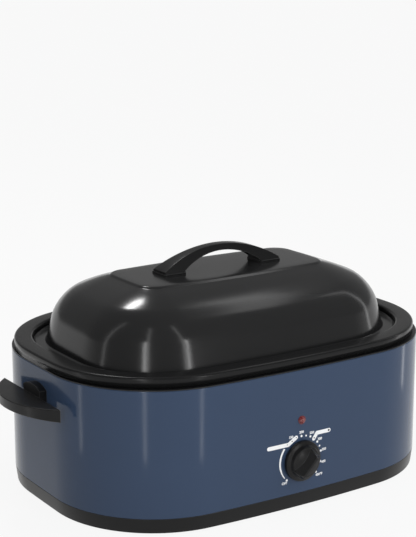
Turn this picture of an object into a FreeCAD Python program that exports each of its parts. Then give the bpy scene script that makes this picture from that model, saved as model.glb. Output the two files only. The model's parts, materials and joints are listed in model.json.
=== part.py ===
"""Electric roaster oven: heated base, lift-off pan, wire rack and domed lid.

Frame: +Z up, millimetres. The origin is the centre of the whole roaster's footprint on the surface
that it stands on, and the control knob faces -Y. Pieces are modelled about the body's own centre
line and moved onto the footprint's centre when they are saved.
"""
import FreeCAD
import Part
import math
import os
from collections import namedtuple

V = FreeCAD.Vector
Outline = namedtuple("Outline", "half_length half_width side_radius end_radius corner_radius")
Arc = namedtuple("Arc", "x y radius start finish")

X_AXIS = V(1, 0, 0)
Y_AXIS = V(0, 1, 0)
Z_AXIS = V(0, 0, 1)
ORIGIN = V(0, 0, 0)

# ---- driving dimensions ------------------------------------------------------------------------
# Body
body_length = 550.0
body_width = 392.0
body_side_radius = 2000.0
body_end_radius = 6000.0
body_corner_radius = 150.0
wrap_height = 166.2
wrap_thickness = 0.6

# Feet, skirt and bottom plate
foot_drop = 3.0
foot_radius = 10.0
foot_x = 185.0
foot_y = 100.0
skirt_height = 19.4
skirt_draft = 2.3
skirt_wall = 3.0
skirt_round = 0.8
skirt_corner = 1.0
skirt_upstand = 12.0
skirt_flange_width = 20.0
skirt_flange_thickness = 3.0
plate_thickness = 0.8
plate_edge_gap = 1.5
vent_length = 34.0
vent_width = 4.0
vent_pitch = 12.0
vent_rows = 5
vent_x = 95.0
foot_taper = 1.0
foot_recess_radius = 4.4
foot_recess = 2.2
foot_screw_grip = 3.0
screw_radius = 1.9
screw_head_radius = 3.6
screw_head = 1.6

# Rim collar
collar_seat = 1.2
collar_step_inset = 7.4
collar_rise = 12.8
collar_flange_inset = 21.8
collar_drop = 12.0
collar_ledge_width = 8.2
collar_wall = 1.2
collar_leg = 11.0
collar_round = 2.4
collar_corner = 0.8

# Heated well
well_wall = 0.7
well_ledge_width = 10.1
well_ledge_round = 2.4
well_rise = 25.0
well_corner_radius = 28.0
floor_margin = 12.0

# Roasting pan
pan_end_overhang = 1.0
pan_side_inset = 4.5
pan_side_radius = 1900.0
pan_end_radius = 1200.0
pan_corner_extra = 6.0
pan_wall = 0.8
pan_floor_gap = 6.8
pan_rim_width = 24.5
pan_lip_height = 13.0
pan_ledge_drop = 10.0
pan_ledge_width = 11.5
pan_draft = 6.0
pan_bottom_radius = 31.0
pan_rim_round = 3.2
pan_ledge_round = 1.6
pan_step_round = 2.6

# Lid
lid_wall = 0.6
lid_clearance = 3.5
lid_flange_width = 14.2
lid_lip_height = 2.6
lid_lean = 13.6
lid_shoulder_height = 62.2
lid_shoulder_radius = 58.0
lid_crown_inset = 80.0
lid_crown_angle = 22.0
lid_top_inset = 100.0
lid_top_angle = 16.0
lid_top_round = 200.0
lid_foot_round = 2.6
lid_emboss = 2.5
lid_emboss_run = 3.5
lid_emboss_round = 4.0
lid_emboss_margin = 16.0

# Lid handle
grip_length = 184.0
grip_rise = 30.0
grip_foot_width = 33.0
grip_top_width = 14.0
grip_wall = 2.6
grip_strap = 3.2
grip_end_wall = 6.4
grip_crown_depth = 8.5
grip_foot_length = 28.0
grip_tip_height = 3.0
grip_boss_length = 22.0
grip_boss_height = 11.0
grip_boss_gable = 4.0
grip_boss_show = 4.0
grip_boss_roof = 1.5
grip_boss_sink = 0.5
grip_edge = 1.5
pad_length = 34.0
pad_margin = 1.0
pad_end_margin = 2.0
pad_thickness = 2.5
pad_corner = 3.0
lid_screw_radius = 2.5
lid_washer_radius = 7.0
lid_washer_thickness = 1.0
lid_screw_head = 2.4
lid_screw_head_radius = 4.7

# Side handles
handle_reach = 47.0
handle_gap = 10.0
handle_length = 160.0
handle_drop = 34.6
handle_plate = 4.0
handle_skirt = 3.0
handle_depth = 12.5
handle_end_drop = 3.5
handle_end_wall = 6.6
handle_edge = 1.2
handle_pad_width = 46.0
handle_pad_height = 17.0
handle_pad_side = 8.0
handle_pad_arch = 6.0
handle_pad_run_in = 8.0
handle_screw_spacing = 28.0
handle_screw_radius = 2.5
handle_screw_head_radius = 4.5
handle_screw_head = 2.2
handle_screw_room = 1.0
handle_screw_wall = 2.0
bracket_thickness = 1.5
bracket_gap = 0.8
bracket_margin = 2.0
handle_bracket_gap = 0.3

# Control knob and thermostat
knob_rise = 44.6
knob_radius = 27.0
knob_edge = 5.0
knob_edge_round = 1.4
knob_foot_radius = 22.5
knob_foot_height = 6.5
knob_foot_round = 1.2
knob_shoulder_radius = 20.5
knob_shoulder_height = 12.0
knob_shoulder_round = 2.0
knob_dome_radius = 19.0
knob_dome_height = 15.5
knob_ridge_height = 24.0
knob_ridge_width = 19.0
knob_ridge_crest = 3.0
knob_ridge_front = 20.0
knob_ridge_back = 12.0
knob_ridge_back_run = 9.0
knob_ridge_end_round = 4.0
knob_ridge_round = 1.2
knob_wall = 3.0
knob_hub_radius = 6.0
knob_gap = 1.2
knob_off_angle = 136.0
spindle_radius = 3.0
spindle_flat = 2.0
spindle_flat_start = 2.0
spindle_bury = 6.0
spindle_in_knob = 12.0
bore_room = 0.5
running_clearance = 0.05
bushing_radius = 5.0
bushing_length = 8.0
thermostat_width = 32.0
thermostat_height = 26.0
thermostat_rear_gap = 1.6
thermostat_corner = 2.5
thermostat_screw_spacing = 24.0
thermostat_plate_width = 44.0
thermostat_plate_height = 36.0
sensor_thickness = 1.0
sensor_pad_width = 16.0
sensor_arm_width = 10.0
sensor_gap = 3.0
plate_screw_head = 0.9
knob_clip_wall = 0.8
knob_clip_slot = 2.0

# Indicator lamp
lamp_rise = 54.3
lens_radius = 4.8
lens_flange = 0.8
lens_rim = 0.9
lens_dome = 3.6
lens_body = 8.0
lens_barrel_gap = 0.4
lens_skin = 0.2
retainer_width = 3.4
retainer_thickness = 0.6
retainer_gap = 0.7
neon_radius = 2.4
neon_length = 12.0
neon_gap = 2.0
neon_room = 0.7
resistor_radius = 1.8
resistor_length = 10.0
resistor_drop = 9.0
resistor_gap = 4.0
resistor_lead = 6.0
thin_lead_radius = 0.4

# Cord inlet
inlet_rise = 23.6
inlet_bore_radius = 4.0
inlet_body_radius = 7.4
inlet_flange_radius = 10.5
inlet_flange_thickness = 5.0
inlet_flange_round = 1.5
inlet_inner_length = 14.0
inlet_nut_size = 20.0
inlet_nut_thickness = 5.0
terminal_x = 66.0
terminal_length = 40.0
terminal_depth = 12.0
terminal_height = 16.0
terminal_ways = 3
terminal_rise = 7.6
terminal_gap = 6.0
terminal_hole_radius = 2.3
terminal_screw_radius = 2.1
terminal_hole_depth = 9.0
terminal_screw_sink = 1.0

# Heating, insulation and wiring
band_thickness = 1.6
band_height = 24.0
band_foot = 7.0
band_pitch = 46.0
strap_thickness = 0.6
strap_height = 8.0
blanket_inset = 12.0
blanket_thickness = 13.0
blanket_foot = 11.6
blanket_head = 22.6
window_margin = 8.0
window_rise = 14.0
rear_window_margin = 4.0
rear_window_rise = 24.0
shield_rise = 6.0
shield_thickness = 0.6
shield_margin = 14.0
stud_radius = 3.0
stud_end = 0.8
spacer_wall = 2.9
washer_thickness = 1.0
tie_nut_thickness = 2.6
tie_nut_size = 10.0
tie_washer_radius = 7.5
cutoff_x = 62.0
cutoff_radius = 3.0
cutoff_length = 20.0
cutoff_lead = 8.0
cutoff_lead_radius = 0.6
cutoff_clip_wall = 0.9
cutoff_clip_length = 8.0
cutoff_clip_ear = 6.0
lead_radius = 1.3
lead_inset = 16.0
lead_pitch = 4.0
lead_rise = 4.0
lead_spread = 8.0

# Wire rack
rack_end_gap = 44.0
rack_side_gap = 44.5
rack_corner = 60.0
rack_height = 12.0
frame_wire = 2.0
grid_wire = 1.5
grid_overlap = 1.0
rack_long_pitch = 35.0
rack_cross_pitch = 70.0
long_wire_count = 5
cross_wire_count = 5
rack_foot_x = 105.0
rack_foot_span = 24.0
rack_foot_bend = 4.0
bail_lean = 8.0
bail_width = 86.0
bail_splay = 5.0
bail_rise = 1.0
bail_wire = 1.6
bail_bend = 7.0

# Clearances shared by many pieces
seat_gap = 0.2
fit_gap = 0.1
edge_round = 0.5
bend_radius = 0.9
cut_room = 10.0

# ---- sizes that follow from them ---------------------------------------------------------------
body = Outline(body_length / 2, body_width / 2, body_side_radius, body_end_radius, body_corner_radius)
pan = Outline(
    body.half_length + pan_end_overhang,
    body.half_width - pan_side_inset,
    pan_side_radius,
    pan_end_radius,
    body.corner_radius + pan_corner_extra,
)

skirt_top_z = foot_drop + skirt_height
wrap_top_z = skirt_top_z + wrap_height
step_z = wrap_top_z + collar_seat
flange_z = step_z + collar_rise
ledge_z = flange_z - collar_drop
ledge_inset = collar_flange_inset + collar_ledge_width
skirt_flange_z = foot_drop + skirt_flange_thickness
skirt_flange_top = skirt_flange_z + skirt_flange_thickness
plate_z = skirt_flange_z - plate_thickness
wrap_inner = wrap_thickness + fit_gap

well_ledge_z = ledge_z + well_wall
well_start = collar_flange_inset + collar_corner + fit_gap
well_inset = well_start + well_ledge_width
well_outer = well_inset - well_wall
well_floor_z = skirt_flange_z + well_rise
well_under_z = well_floor_z - well_wall

pan_rim_z = flange_z + seat_gap + pan_wall
pan_ledge_z = pan_rim_z - pan_ledge_drop
pan_floor_z = well_floor_z + pan_floor_gap + pan_wall
pan_well_inset = pan_rim_width + pan_ledge_width
pan_floor_inset = pan_well_inset + pan_draft + pan_bottom_radius + floor_margin

lid_inset = pan_rim_width + lid_clearance
lid = Outline(*[size - lid_inset for size in pan])
lid_base_z = pan_ledge_z + seat_gap

band_lower_z = well_floor_z + well_corner_radius + band_foot
band_upper_z = band_lower_z + band_pitch
band_outer = well_outer - fit_gap - band_thickness
strap_outer = band_outer - fit_gap - strap_thickness
blanket_low_z = skirt_top_z + skirt_upstand + blanket_foot
blanket_high_z = wrap_top_z - blanket_head
shield_z = skirt_flange_top + shield_rise
tie_nut_z = plate_z - washer_thickness - tie_nut_thickness

knob_z = skirt_top_z + knob_rise
lamp_z = knob_z + lamp_rise
inlet_z = skirt_top_z + inlet_rise
terminal_z = skirt_top_z + terminal_rise

front_y = -body.half_width
rear_y = body.half_width
end_x = body.half_length
knob_back_y = front_y - knob_gap
knob_front_y = knob_back_y - knob_ridge_height
inlet_back_y = rear_y + inlet_flange_thickness
footprint_y = (knob_front_y + inlet_back_y) / 2
bracket_front_y = front_y + wrap_inner + bracket_gap
bracket_back_y = bracket_front_y + bracket_thickness
body_front_y = bracket_back_y + bushing_length
body_back_y = front_y + strap_outer - thermostat_rear_gap
handle_top_z = wrap_top_z - handle_drop
handle_pad_mid_z = handle_top_z - handle_pad_height / 2
bracket_inner_x = end_x - wrap_inner - handle_bracket_gap - bracket_thickness
hole_end_x = end_x + handle_gap + handle_pad_run_in - handle_screw_wall
terminal_top = terminal_z + terminal_height
lead_radius_of_side = body_side_radius - lead_inset
rack_z = pan_floor_z + seat_gap + rack_height
rack_half_x = pan.half_length - pan_well_inset - pan_draft - rack_end_gap
rack_half_y = pan.half_width - pan_well_inset - pan_draft - rack_side_gap
bail_x = rack_half_x + bail_lean
bail_top_z = pan_rim_z + bail_rise


# ---- geometry helpers --------------------------------------------------------------------------
def outline_arcs(outline):
    """Eight tangent arcs of a bowed, round-cornered outline, counter-clockwise from the +X end."""
    side_y = outline.half_width - outline.side_radius
    end_centre_x = outline.half_length - outline.end_radius
    to_side = outline.side_radius - outline.corner_radius
    to_end = outline.end_radius - outline.corner_radius
    apart = math.hypot(end_centre_x, side_y)
    along = (apart ** 2 + to_side ** 2 - to_end ** 2) / (2 * apart)
    across = math.sqrt(to_side ** 2 - along ** 2)
    unit_x = end_centre_x / apart
    unit_y = -side_y / apart
    corner_x = along * unit_x + across * unit_y
    corner_y = side_y + along * unit_y - across * unit_x
    first = math.atan2(corner_y, corner_x - end_centre_x)
    second = math.atan2(corner_y - side_y, corner_x)
    half = math.pi
    whole = 2 * math.pi
    return [
        Arc(end_centre_x, 0, outline.end_radius, -first, first),
        Arc(corner_x, corner_y, outline.corner_radius, first, second),
        Arc(0, side_y, outline.side_radius, second, half - second),
        Arc(-corner_x, corner_y, outline.corner_radius, half - second, half - first),
        Arc(-end_centre_x, 0, outline.end_radius, half - first, half + first),
        Arc(-corner_x, -corner_y, outline.corner_radius, half + first, half + second),
        Arc(0, -side_y, outline.side_radius, half + second, whole - second),
        Arc(corner_x, -corner_y, outline.corner_radius, whole - second, whole - first),
    ]


def arc_point(arc, inset, angle, z):
    """Point on an outline arc moved inwards by inset."""
    reach = arc.radius - inset
    return V(arc.x + reach * math.cos(angle), arc.y + reach * math.sin(angle), z)


def oval_wire(outline, inset, z):
    """Closed wire of the outline moved inwards by inset, at height z."""
    edges = []
    for arc in outline_arcs(outline):
        middle = (arc.start + arc.finish) / 2
        points = [arc_point(arc, inset, angle, z) for angle in (arc.start, middle, arc.finish)]
        edges.append(Part.Arc(*points).toShape())
    return Part.Wire(edges)


def oval_prism(outline, inset, low, high):
    """Solid with the outline's plan from z low to z high."""
    return Part.Face(oval_wire(outline, inset, low)).extrude(V(0, 0, high - low))


def oval_ring(outline, outer, inner, low, high):
    """Upright ring between two insets of the outline."""
    return oval_prism(outline, outer, low, high).cut(oval_prism(outline, inner, low, high))


def rounded_edges(corners, place):
    """Edges of a closed polygon of (u, v, radius) corners; place turns u, v into a point."""
    spans = []
    for index, (u, v, radius) in enumerate(corners):
        here = V(u, v, 0)
        before = V(*corners[index - 1][:2], 0) - here
        after = V(*corners[(index + 1) % len(corners)][:2], 0) - here
        before.normalize()
        after.normalize()
        if radius <= 0:
            spans.append((here, None, here))
            continue
        half_angle = before.getAngle(after) / 2
        setback = radius / math.tan(half_angle)
        bisector = before + after
        bisector.normalize()
        middle = here + bisector * (radius / math.sin(half_angle) - radius)
        spans.append((here + before * setback, middle, here + after * setback))
    edges = []
    for index, (start, middle, finish) in enumerate(spans):
        if middle is not None:
            edges.append(Part.Arc(*[place(p.x, p.y) for p in (start, middle, finish)]).toShape())
        following = spans[(index + 1) % len(spans)][0]
        if finish.distanceToPoint(following) > 1e-6:
            edges.append(Part.makeLine(place(finish.x, finish.y), place(following.x, following.y)))
    return edges


def rounded_face(corners, place):
    """Planar face of a closed polygon with rounded corners."""
    return Part.Face(Part.Wire(rounded_edges(corners, place)))


def strip(path, thickness):
    """Closed section of a sheet along an open path of (u, v, radius), thickened to its right."""
    far_side = []
    for index, (u, v, radius) in enumerate(path):
        here = V(u, v, 0)
        arriving = here - V(*path[max(index - 1, 0)][:2], 0)
        leaving = V(*path[min(index + 1, len(path) - 1)][:2], 0) - here
        if index == 0:
            arriving = leaving
        if index == len(path) - 1:
            leaving = arriving
        arriving.normalize()
        leaving.normalize()
        normal_in = V(arriving.y, -arriving.x, 0)
        normal_out = V(leaving.y, -leaving.x, 0)
        mitre = (normal_in + normal_out) * (thickness / (1 + normal_in.dot(normal_out)))
        turns_left = arriving.cross(leaving).z > 0
        far_radius = radius + thickness if turns_left else max(radius - thickness, 0)
        far_side.append((u + mitre.x, v + mitre.y, far_radius if radius > 0 else 0))
    return list(path) + far_side[::-1]


def sweep_section(outline, corners):
    """Solid ring of a closed (inset, z, radius) section carried round the outline."""
    sectors = []
    for arc in outline_arcs(outline):
        cosine = math.cos(arc.start)
        sine = math.sin(arc.start)

        def place(inset, z, arc=arc, cosine=cosine, sine=sine):
            reach = arc.radius - inset
            return V(arc.x + reach * cosine, arc.y + reach * sine, z)

        turn = math.degrees(arc.finish - arc.start)
        sectors.append(rounded_face(corners, place).revolve(V(arc.x, arc.y, 0), Z_AXIS, turn))
    return merge(sectors)


def merge(solids):
    """One solid out of touching or overlapping ones."""
    if len(solids) == 1:
        return solids[0]
    return solids[0].multiFuse(solids[1:]).removeSplitter()


def group(solids):
    """Separate solids that share one node."""
    return Part.makeCompound(solids)


def box(low, high):
    """Box between two opposite corners."""
    return Part.makeBox(high[0] - low[0], high[1] - low[1], high[2] - low[2], V(*low))


def rod(radius, start, finish):
    """Cylinder from one point to another."""
    line = V(*finish) - V(*start)
    return Part.makeCylinder(radius, line.Length, V(*start), line)


def tube(outer, inner, start, finish):
    """Hollow cylinder from one point to another."""
    return rod(outer, start, finish).cut(rod(inner, start, finish))


def hexagon(across_flats, start, axis, thickness):
    """Hexagonal prism that stands on start along axis."""
    radius = across_flats / math.sqrt(3)
    corners = [V(radius * math.cos(i * math.pi / 3), radius * math.sin(i * math.pi / 3), 0) for i in range(6)]
    solid = Part.Face(Part.makePolygon(corners + corners[:1])).extrude(V(0, 0, thickness))
    solid.Placement = FreeCAD.Placement(V(*start), FreeCAD.Rotation(Z_AXIS, axis))
    return solid


def bent_path(points, bend):
    """Wire of straight runs through points, joined by tangent arcs of one bend radius."""
    points = [V(*point) for point in points]
    edges = []
    last = points[0]
    for before, here, after in zip(points, points[1:], points[2:]):
        back = (before - here).normalize()
        ahead = (after - here).normalize()
        half_angle = back.getAngle(ahead) / 2
        setback = bend / math.tan(half_angle)
        middle = here + (back + ahead).normalize() * (bend / math.sin(half_angle) - bend)
        edges.append(Part.makeLine(last, here + back * setback))
        edges.append(Part.Arc(here + back * setback, middle, here + ahead * setback).toShape())
        last = here + ahead * setback
    edges.append(Part.makeLine(last, points[-1]))
    return Part.Wire(edges)


def bent_wire(points, radius, bend):
    """Round wire along straight runs and tangent bends."""
    path = bent_path(points, bend)
    start = V(*points[0])
    ring = Part.Wire(Part.makeCircle(radius, start, V(*points[1]) - start))
    return path.makePipeShell([ring], True, False)


def mirrored(solid, normal):
    """Mirror image across the plane through the centre line with this normal."""
    return solid.mirror(ORIGIN, normal)


def facing_front(solid, z):
    """Turn a solid modelled along +Z so that it faces -Y on the front at height z."""
    turned = solid.copy()
    turned.rotate(ORIGIN, X_AXIS, 90)
    turned.translate(V(0, front_y, z))
    return turned


def sphere_cap(base_radius, low, high):
    """Cap of a sphere that stands on a circle at height low and peaks at height high."""
    rise = high - low
    radius = (base_radius ** 2 + rise ** 2) / (2 * rise)
    ball = Part.makeSphere(radius, V(0, 0, high - radius))
    return ball.common(Part.makeCylinder(base_radius, rise + cut_room, V(0, 0, low)))


def disc_profile(corners):
    """Solid of revolution about +Z of a closed (radius, height, rounding) section."""
    return rounded_face(corners, lambda r, z: V(r, 0, z)).revolve(ORIGIN, Z_AXIS, 360)


# ---- base: skirt, feet and bottom plate --------------------------------------------------------
def bottom_screw_places():
    """Six screw places round the skirt's inward flange."""
    inset = skirt_draft + skirt_wall + skirt_flange_width / 2
    x = body.half_length - inset
    y = body.half_width - inset
    return [(x, 0), (-x, 0), (x / 2, y), (-x / 2, y), (x / 2, -y), (-x / 2, -y)]


def base_skirt():
    inner = wrap_inner + skirt_wall
    flange_inner = inner + skirt_flange_width
    section = [
        (skirt_draft, foot_drop, skirt_round),
        (0, skirt_top_z, 0),
        (wrap_inner, skirt_top_z, 0),
        (wrap_inner, skirt_top_z + skirt_upstand, edge_round),
        (inner, skirt_top_z + skirt_upstand, edge_round),
        (inner, skirt_flange_top, skirt_corner),
        (flange_inner, skirt_flange_top, edge_round),
        (flange_inner, skirt_flange_z, 0),
        (skirt_draft + skirt_wall, skirt_flange_z, 0),
        (skirt_draft + skirt_wall, foot_drop, skirt_round),
    ]
    skirt = sweep_section(body, section)
    for x, y in bottom_screw_places():
        hole = rod(screw_radius + fit_gap, (x, y, skirt_flange_z), (x, y, skirt_flange_top))
        skirt = skirt.cut(hole)
    return skirt


def vent_slots(low, high):
    """Two blocks of round-ended slots, low to high."""
    slots = []
    for side in (-1, 1):
        for row in range(vent_rows):
            y = (row - (vent_rows - 1) / 2) * vent_pitch
            x = side * vent_x
            half = (vent_length - vent_width) / 2
            slots.append(box((x - half, y - vent_width / 2, low), (x + half, y + vent_width / 2, high)))
            for end in (x - half, x + half):
                slots.append(rod(vent_width / 2, (end, y, low), (end, y, high)))
    return merge(slots)


def foot_places():
    return [(x, y) for x in (-foot_x, foot_x) for y in (-foot_y, foot_y)]


def bottom_plate():
    plate = oval_prism(body, skirt_draft + skirt_wall + plate_edge_gap, plate_z, skirt_flange_z)
    holes = [vent_slots(plate_z, skirt_flange_z)]
    holes.append(rod(stud_radius + fit_gap, (0, 0, plate_z), (0, 0, skirt_flange_z)))
    for x, y in bottom_screw_places() + foot_places():
        holes.append(rod(screw_radius + fit_gap, (x, y, plate_z), (x, y, skirt_flange_z)))
    return plate.cut(group(holes))


def round_head_screw(x, y, seat_z, tip_z):
    """Screw driven up from below, with its round head under seat_z."""
    head = rod(screw_head_radius, (x, y, seat_z - screw_head), (x, y, seat_z))
    return merge([head, rod(screw_radius, (x, y, seat_z), (x, y, tip_z))])


def bottom_screws():
    return group([round_head_screw(x, y, plate_z, skirt_flange_top) for x, y in bottom_screw_places()])


def rubber_feet():
    profile = [
        (screw_radius + fit_gap, foot_recess, 0),
        (screw_radius + fit_gap, plate_z, 0),
        (foot_radius, plate_z, edge_round),
        (foot_radius - foot_taper, 0, skirt_corner),
        (foot_recess_radius, 0, 0),
        (foot_recess_radius, foot_recess, 0),
    ]
    foot = disc_profile(profile)
    feet = []
    for x, y in foot_places():
        copy = foot.copy()
        copy.translate(V(x, y, 0))
        feet.append(copy)
    return group(feet)


def foot_screws():
    tip_z = skirt_flange_z + foot_screw_grip
    return group([round_head_screw(x, y, foot_recess, tip_z) for x, y in foot_places()])


# ---- base: wrap and collar ---------------------------------------------------------------------
def handle_screw_places():
    return [(y, handle_pad_mid_z) for y in (-handle_screw_spacing / 2, handle_screw_spacing / 2)]


def thermostat_screw_places():
    return [(0, knob_z + side * thermostat_screw_spacing / 2) for side in (-1, 1)]


def body_wrap():
    wrap = oval_ring(body, 0, wrap_thickness, skirt_top_z, wrap_top_z)
    holes = [
        wall_hole(bushing_radius, 0, front_y, knob_z),
        wall_hole(lens_radius - lens_barrel_gap, 0, front_y, lamp_z),
        wall_hole(inlet_body_radius, 0, rear_y, inlet_z),
    ]
    for x, z in thermostat_screw_places():
        holes.append(wall_hole(screw_radius, x, front_y, z))
    radius = handle_screw_radius + fit_gap
    for y, z in handle_screw_places():
        for side in (-1, 1):
            inner = side * (end_x - cut_room)
            outer = side * (end_x + cut_room)
            holes.append(rod(radius, (inner, y, z), (outer, y, z)))
    return wrap.cut(group(holes))


def wall_hole(radius, x, y, z):
    """Cutting tool for a hole through the front or rear wall that clears a part of this radius."""
    return rod(radius + fit_gap, (x, y - cut_room, z), (x, y + cut_room, z))


def top_collar():
    leg_inner = wrap_inner + collar_wall
    riser_inner = collar_step_inset + collar_wall
    drop_outer = collar_flange_inset - collar_wall
    section = [
        (0, wrap_top_z, 0),
        (0, step_z, edge_round),
        (collar_step_inset, step_z, collar_corner),
        (collar_step_inset, flange_z, collar_round),
        (collar_flange_inset, flange_z, collar_round),
        (collar_flange_inset, ledge_z, collar_corner),
        (ledge_inset, ledge_z, 0),
        (ledge_inset, ledge_z - collar_wall, 0),
        (drop_outer, ledge_z - collar_wall, collar_corner),
        (drop_outer, flange_z - collar_wall, edge_round),
        (riser_inner, flange_z - collar_wall, edge_round),
        (riser_inner, step_z - collar_wall, edge_round),
        (leg_inner, step_z - collar_wall, edge_round),
        (leg_inner, wrap_top_z - collar_leg, 0),
        (wrap_inner, wrap_top_z - collar_leg, 0),
        (wrap_inner, wrap_top_z, 0),
    ]
    return sweep_section(body, section)


# ---- base: heated well -------------------------------------------------------------------------
def heating_well():
    floor_inset = well_inset + well_corner_radius + floor_margin
    path = [
        (well_start, well_ledge_z, 0),
        (well_inset, well_ledge_z, well_ledge_round),
        (well_inset, well_floor_z, well_corner_radius),
        (floor_inset, well_floor_z, 0),
    ]
    walls = sweep_section(body, strip(path, well_wall))
    floor = oval_prism(body, floor_inset, well_under_z, well_floor_z)
    return merge([walls, floor])


def heater_band(low):
    return oval_ring(body, band_outer, band_outer + band_thickness, low, low + band_height)


def heater_clamps():
    straps = []
    for low in (band_lower_z, band_upper_z):
        z = low + (band_height - strap_height) / 2
        straps.append(oval_ring(body, strap_outer, strap_outer + strap_thickness, z, z + strap_height))
    return group(straps)


def insulation_blanket():
    inner = blanket_inset + blanket_thickness
    blanket = oval_ring(body, blanket_inset, inner, blanket_low_z, blanket_high_z)
    half = thermostat_plate_width / 2 + window_margin
    window = box((-half, front_y, blanket_low_z), (half, 0, lamp_z + window_rise))
    rear_low_x = -terminal_x - terminal_length / 2 - rear_window_margin
    rear_high_x = inlet_nut_size
    rear_window = box((rear_low_x, 0, blanket_low_z), (rear_high_x, rear_y, inlet_z + rear_window_rise))
    return blanket.cut(window).cut(rear_window)


def heat_shield():
    inset = well_inset + shield_margin
    shield = oval_prism(body, inset, shield_z, shield_z + shield_thickness)
    return shield.cut(rod(stud_radius + fit_gap, (0, 0, 0), (0, 0, well_floor_z)))


def shield_spacer():
    low = shield_z + shield_thickness
    inner = stud_radius + fit_gap
    return tube(inner + spacer_wall, inner, (0, 0, low), (0, 0, well_under_z))


def tie_stud():
    return rod(stud_radius, (0, 0, tie_nut_z - stud_end), (0, 0, well_under_z))


def tie_washer():
    low = plate_z - washer_thickness
    return tube(tie_washer_radius, stud_radius + fit_gap, (0, 0, low), (0, 0, plate_z))


def tie_nut():
    nut = hexagon(tie_nut_size, (0, 0, tie_nut_z), Z_AXIS, tie_nut_thickness)
    return nut.cut(rod(stud_radius + fit_gap, (0, 0, tie_nut_z), (0, 0, plate_z)))


# ---- base: thermostat and lamp -----------------------------------------------------------------
def thermostat_bracket():
    half = thermostat_plate_width / 2
    tall = thermostat_plate_height / 2
    plate = box((-half, bracket_front_y, knob_z - tall), (half, bracket_back_y, knob_z + tall))
    holes = [rod(bushing_radius + fit_gap, (0, bracket_front_y, knob_z), (0, bracket_back_y, knob_z))]
    for x, z in thermostat_screw_places():
        holes.append(rod(screw_radius + fit_gap, (x, bracket_front_y, z), (x, bracket_back_y, z)))
    return plate.cut(group(holes))


def thermostat_screws():
    screws = []
    for x, z in thermostat_screw_places():
        head = rod(screw_head_radius, (x, front_y - plate_screw_head, z), (x, front_y, z))
        shank = rod(screw_radius, (x, front_y, z), (x, bracket_back_y, z))
        screws.append(merge([head, shank]))
    return group(screws)


def thermostat_bushing():
    start = front_y + seat_gap
    bore = spindle_radius + running_clearance
    return tube(bushing_radius, bore, (0, start, knob_z), (0, body_front_y, knob_z))


def thermostat_body():
    half = thermostat_width / 2
    tall = thermostat_height / 2
    block = box((-half, body_front_y, knob_z - tall), (half, body_back_y, knob_z + tall))
    upright = [edge for edge in block.Edges if abs(edge.tangentAt(edge.FirstParameter).y) > 0.9]
    block = block.makeFillet(thermostat_corner, upright)
    deep = body_front_y + spindle_bury + bore_room
    return block.cut(rod(spindle_radius + bore_room, (0, body_front_y, knob_z), (0, deep, knob_z)))


def thermostat_sensor():
    """Spring strip that presses the sensing element against the well's wall."""
    pad_y = front_y + well_outer - fit_gap
    pad_low = band_lower_z + band_height + sensor_gap
    pad_high = band_upper_z - sensor_gap
    middle = (pad_low + pad_high) / 2
    half_pad = sensor_pad_width / 2
    half_arm = sensor_arm_width / 2
    pad = box((-half_pad, pad_y - sensor_thickness, pad_low), (half_pad, pad_y, pad_high))
    arm = box((-half_arm, body_back_y, knob_z), (half_arm, body_back_y + sensor_thickness, middle))
    bridge = box((-half_arm, body_back_y, middle - sensor_thickness), (half_arm, pad_y, middle))
    return merge([pad, arm, bridge])


def thermostat_spindle():
    back = body_front_y + spindle_bury
    front = knob_back_y - spindle_in_knob
    shaft = rod(spindle_radius, (0, back, knob_z), (0, front, knob_z))
    flat_start = knob_back_y - spindle_flat_start
    wide = 2 * spindle_radius
    flat = box((-wide, front, spindle_flat), (wide, flat_start, wide))
    flat.rotate(ORIGIN, Y_AXIS, -knob_off_angle)
    flat.translate(V(0, 0, knob_z))
    return shaft.cut(flat)


def indicator_lens():
    rim_radius = lens_radius + lens_flange
    barrel_radius = lens_radius - lens_barrel_gap
    barrel = rod(barrel_radius, (0, 0, -lens_body), (0, 0, 0))
    rim = rod(rim_radius, (0, 0, 0), (0, 0, lens_rim))
    dome = sphere_cap(lens_radius, lens_rim, lens_rim + lens_dome)
    bore = rod(neon_radius + neon_room, (0, 0, -lens_body), (0, 0, -lens_skin))
    return facing_front(merge([barrel, rim, dome]).cut(bore), lamp_z)


def lens_retainer():
    hole = lens_radius - lens_barrel_gap + fit_gap
    top = -wrap_inner - retainer_gap
    ring = tube(hole + retainer_width, hole, (0, 0, top - retainer_thickness), (0, 0, top))
    return facing_front(ring, lamp_z)


def indicator_lamp():
    bulb = rod(neon_radius, (0, 0, -neon_gap - neon_length), (0, 0, -neon_gap))
    return facing_front(bulb, lamp_z)


def lamp_resistor():
    y = front_y + neon_gap + neon_length + resistor_gap
    z = lamp_z - resistor_drop
    half = resistor_length / 2
    barrel = rod(resistor_radius, (-half, y, z), (half, y, z))
    leads = rod(thin_lead_radius, (-half - resistor_lead, y, z), (half + resistor_lead, y, z))
    return merge([barrel, leads])


# ---- base: cord inlet and wiring ---------------------------------------------------------------
def cord_gland():
    flange = rod(inlet_flange_radius, (0, rear_y, inlet_z), (0, inlet_back_y, inlet_z))
    outer_face = [edge for edge in flange.Edges if abs(edge.CenterOfMass.y - inlet_back_y) < 0.01]
    flange = flange.makeFillet(inlet_flange_round, outer_face)
    inner_y = rear_y - inlet_inner_length
    barrel = rod(inlet_body_radius, (0, inner_y, inlet_z), (0, rear_y, inlet_z))
    bore = rod(inlet_bore_radius, (0, inner_y, inlet_z), (0, inlet_back_y, inlet_z))
    return merge([flange, barrel]).cut(bore)


def gland_nut():
    back = rear_y - wrap_inner
    front = back - inlet_nut_thickness
    nut = hexagon(inlet_nut_size, (0, front, inlet_z), Y_AXIS, inlet_nut_thickness)
    return nut.cut(rod(inlet_body_radius + fit_gap, (0, front, inlet_z), (0, back, inlet_z)))


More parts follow.
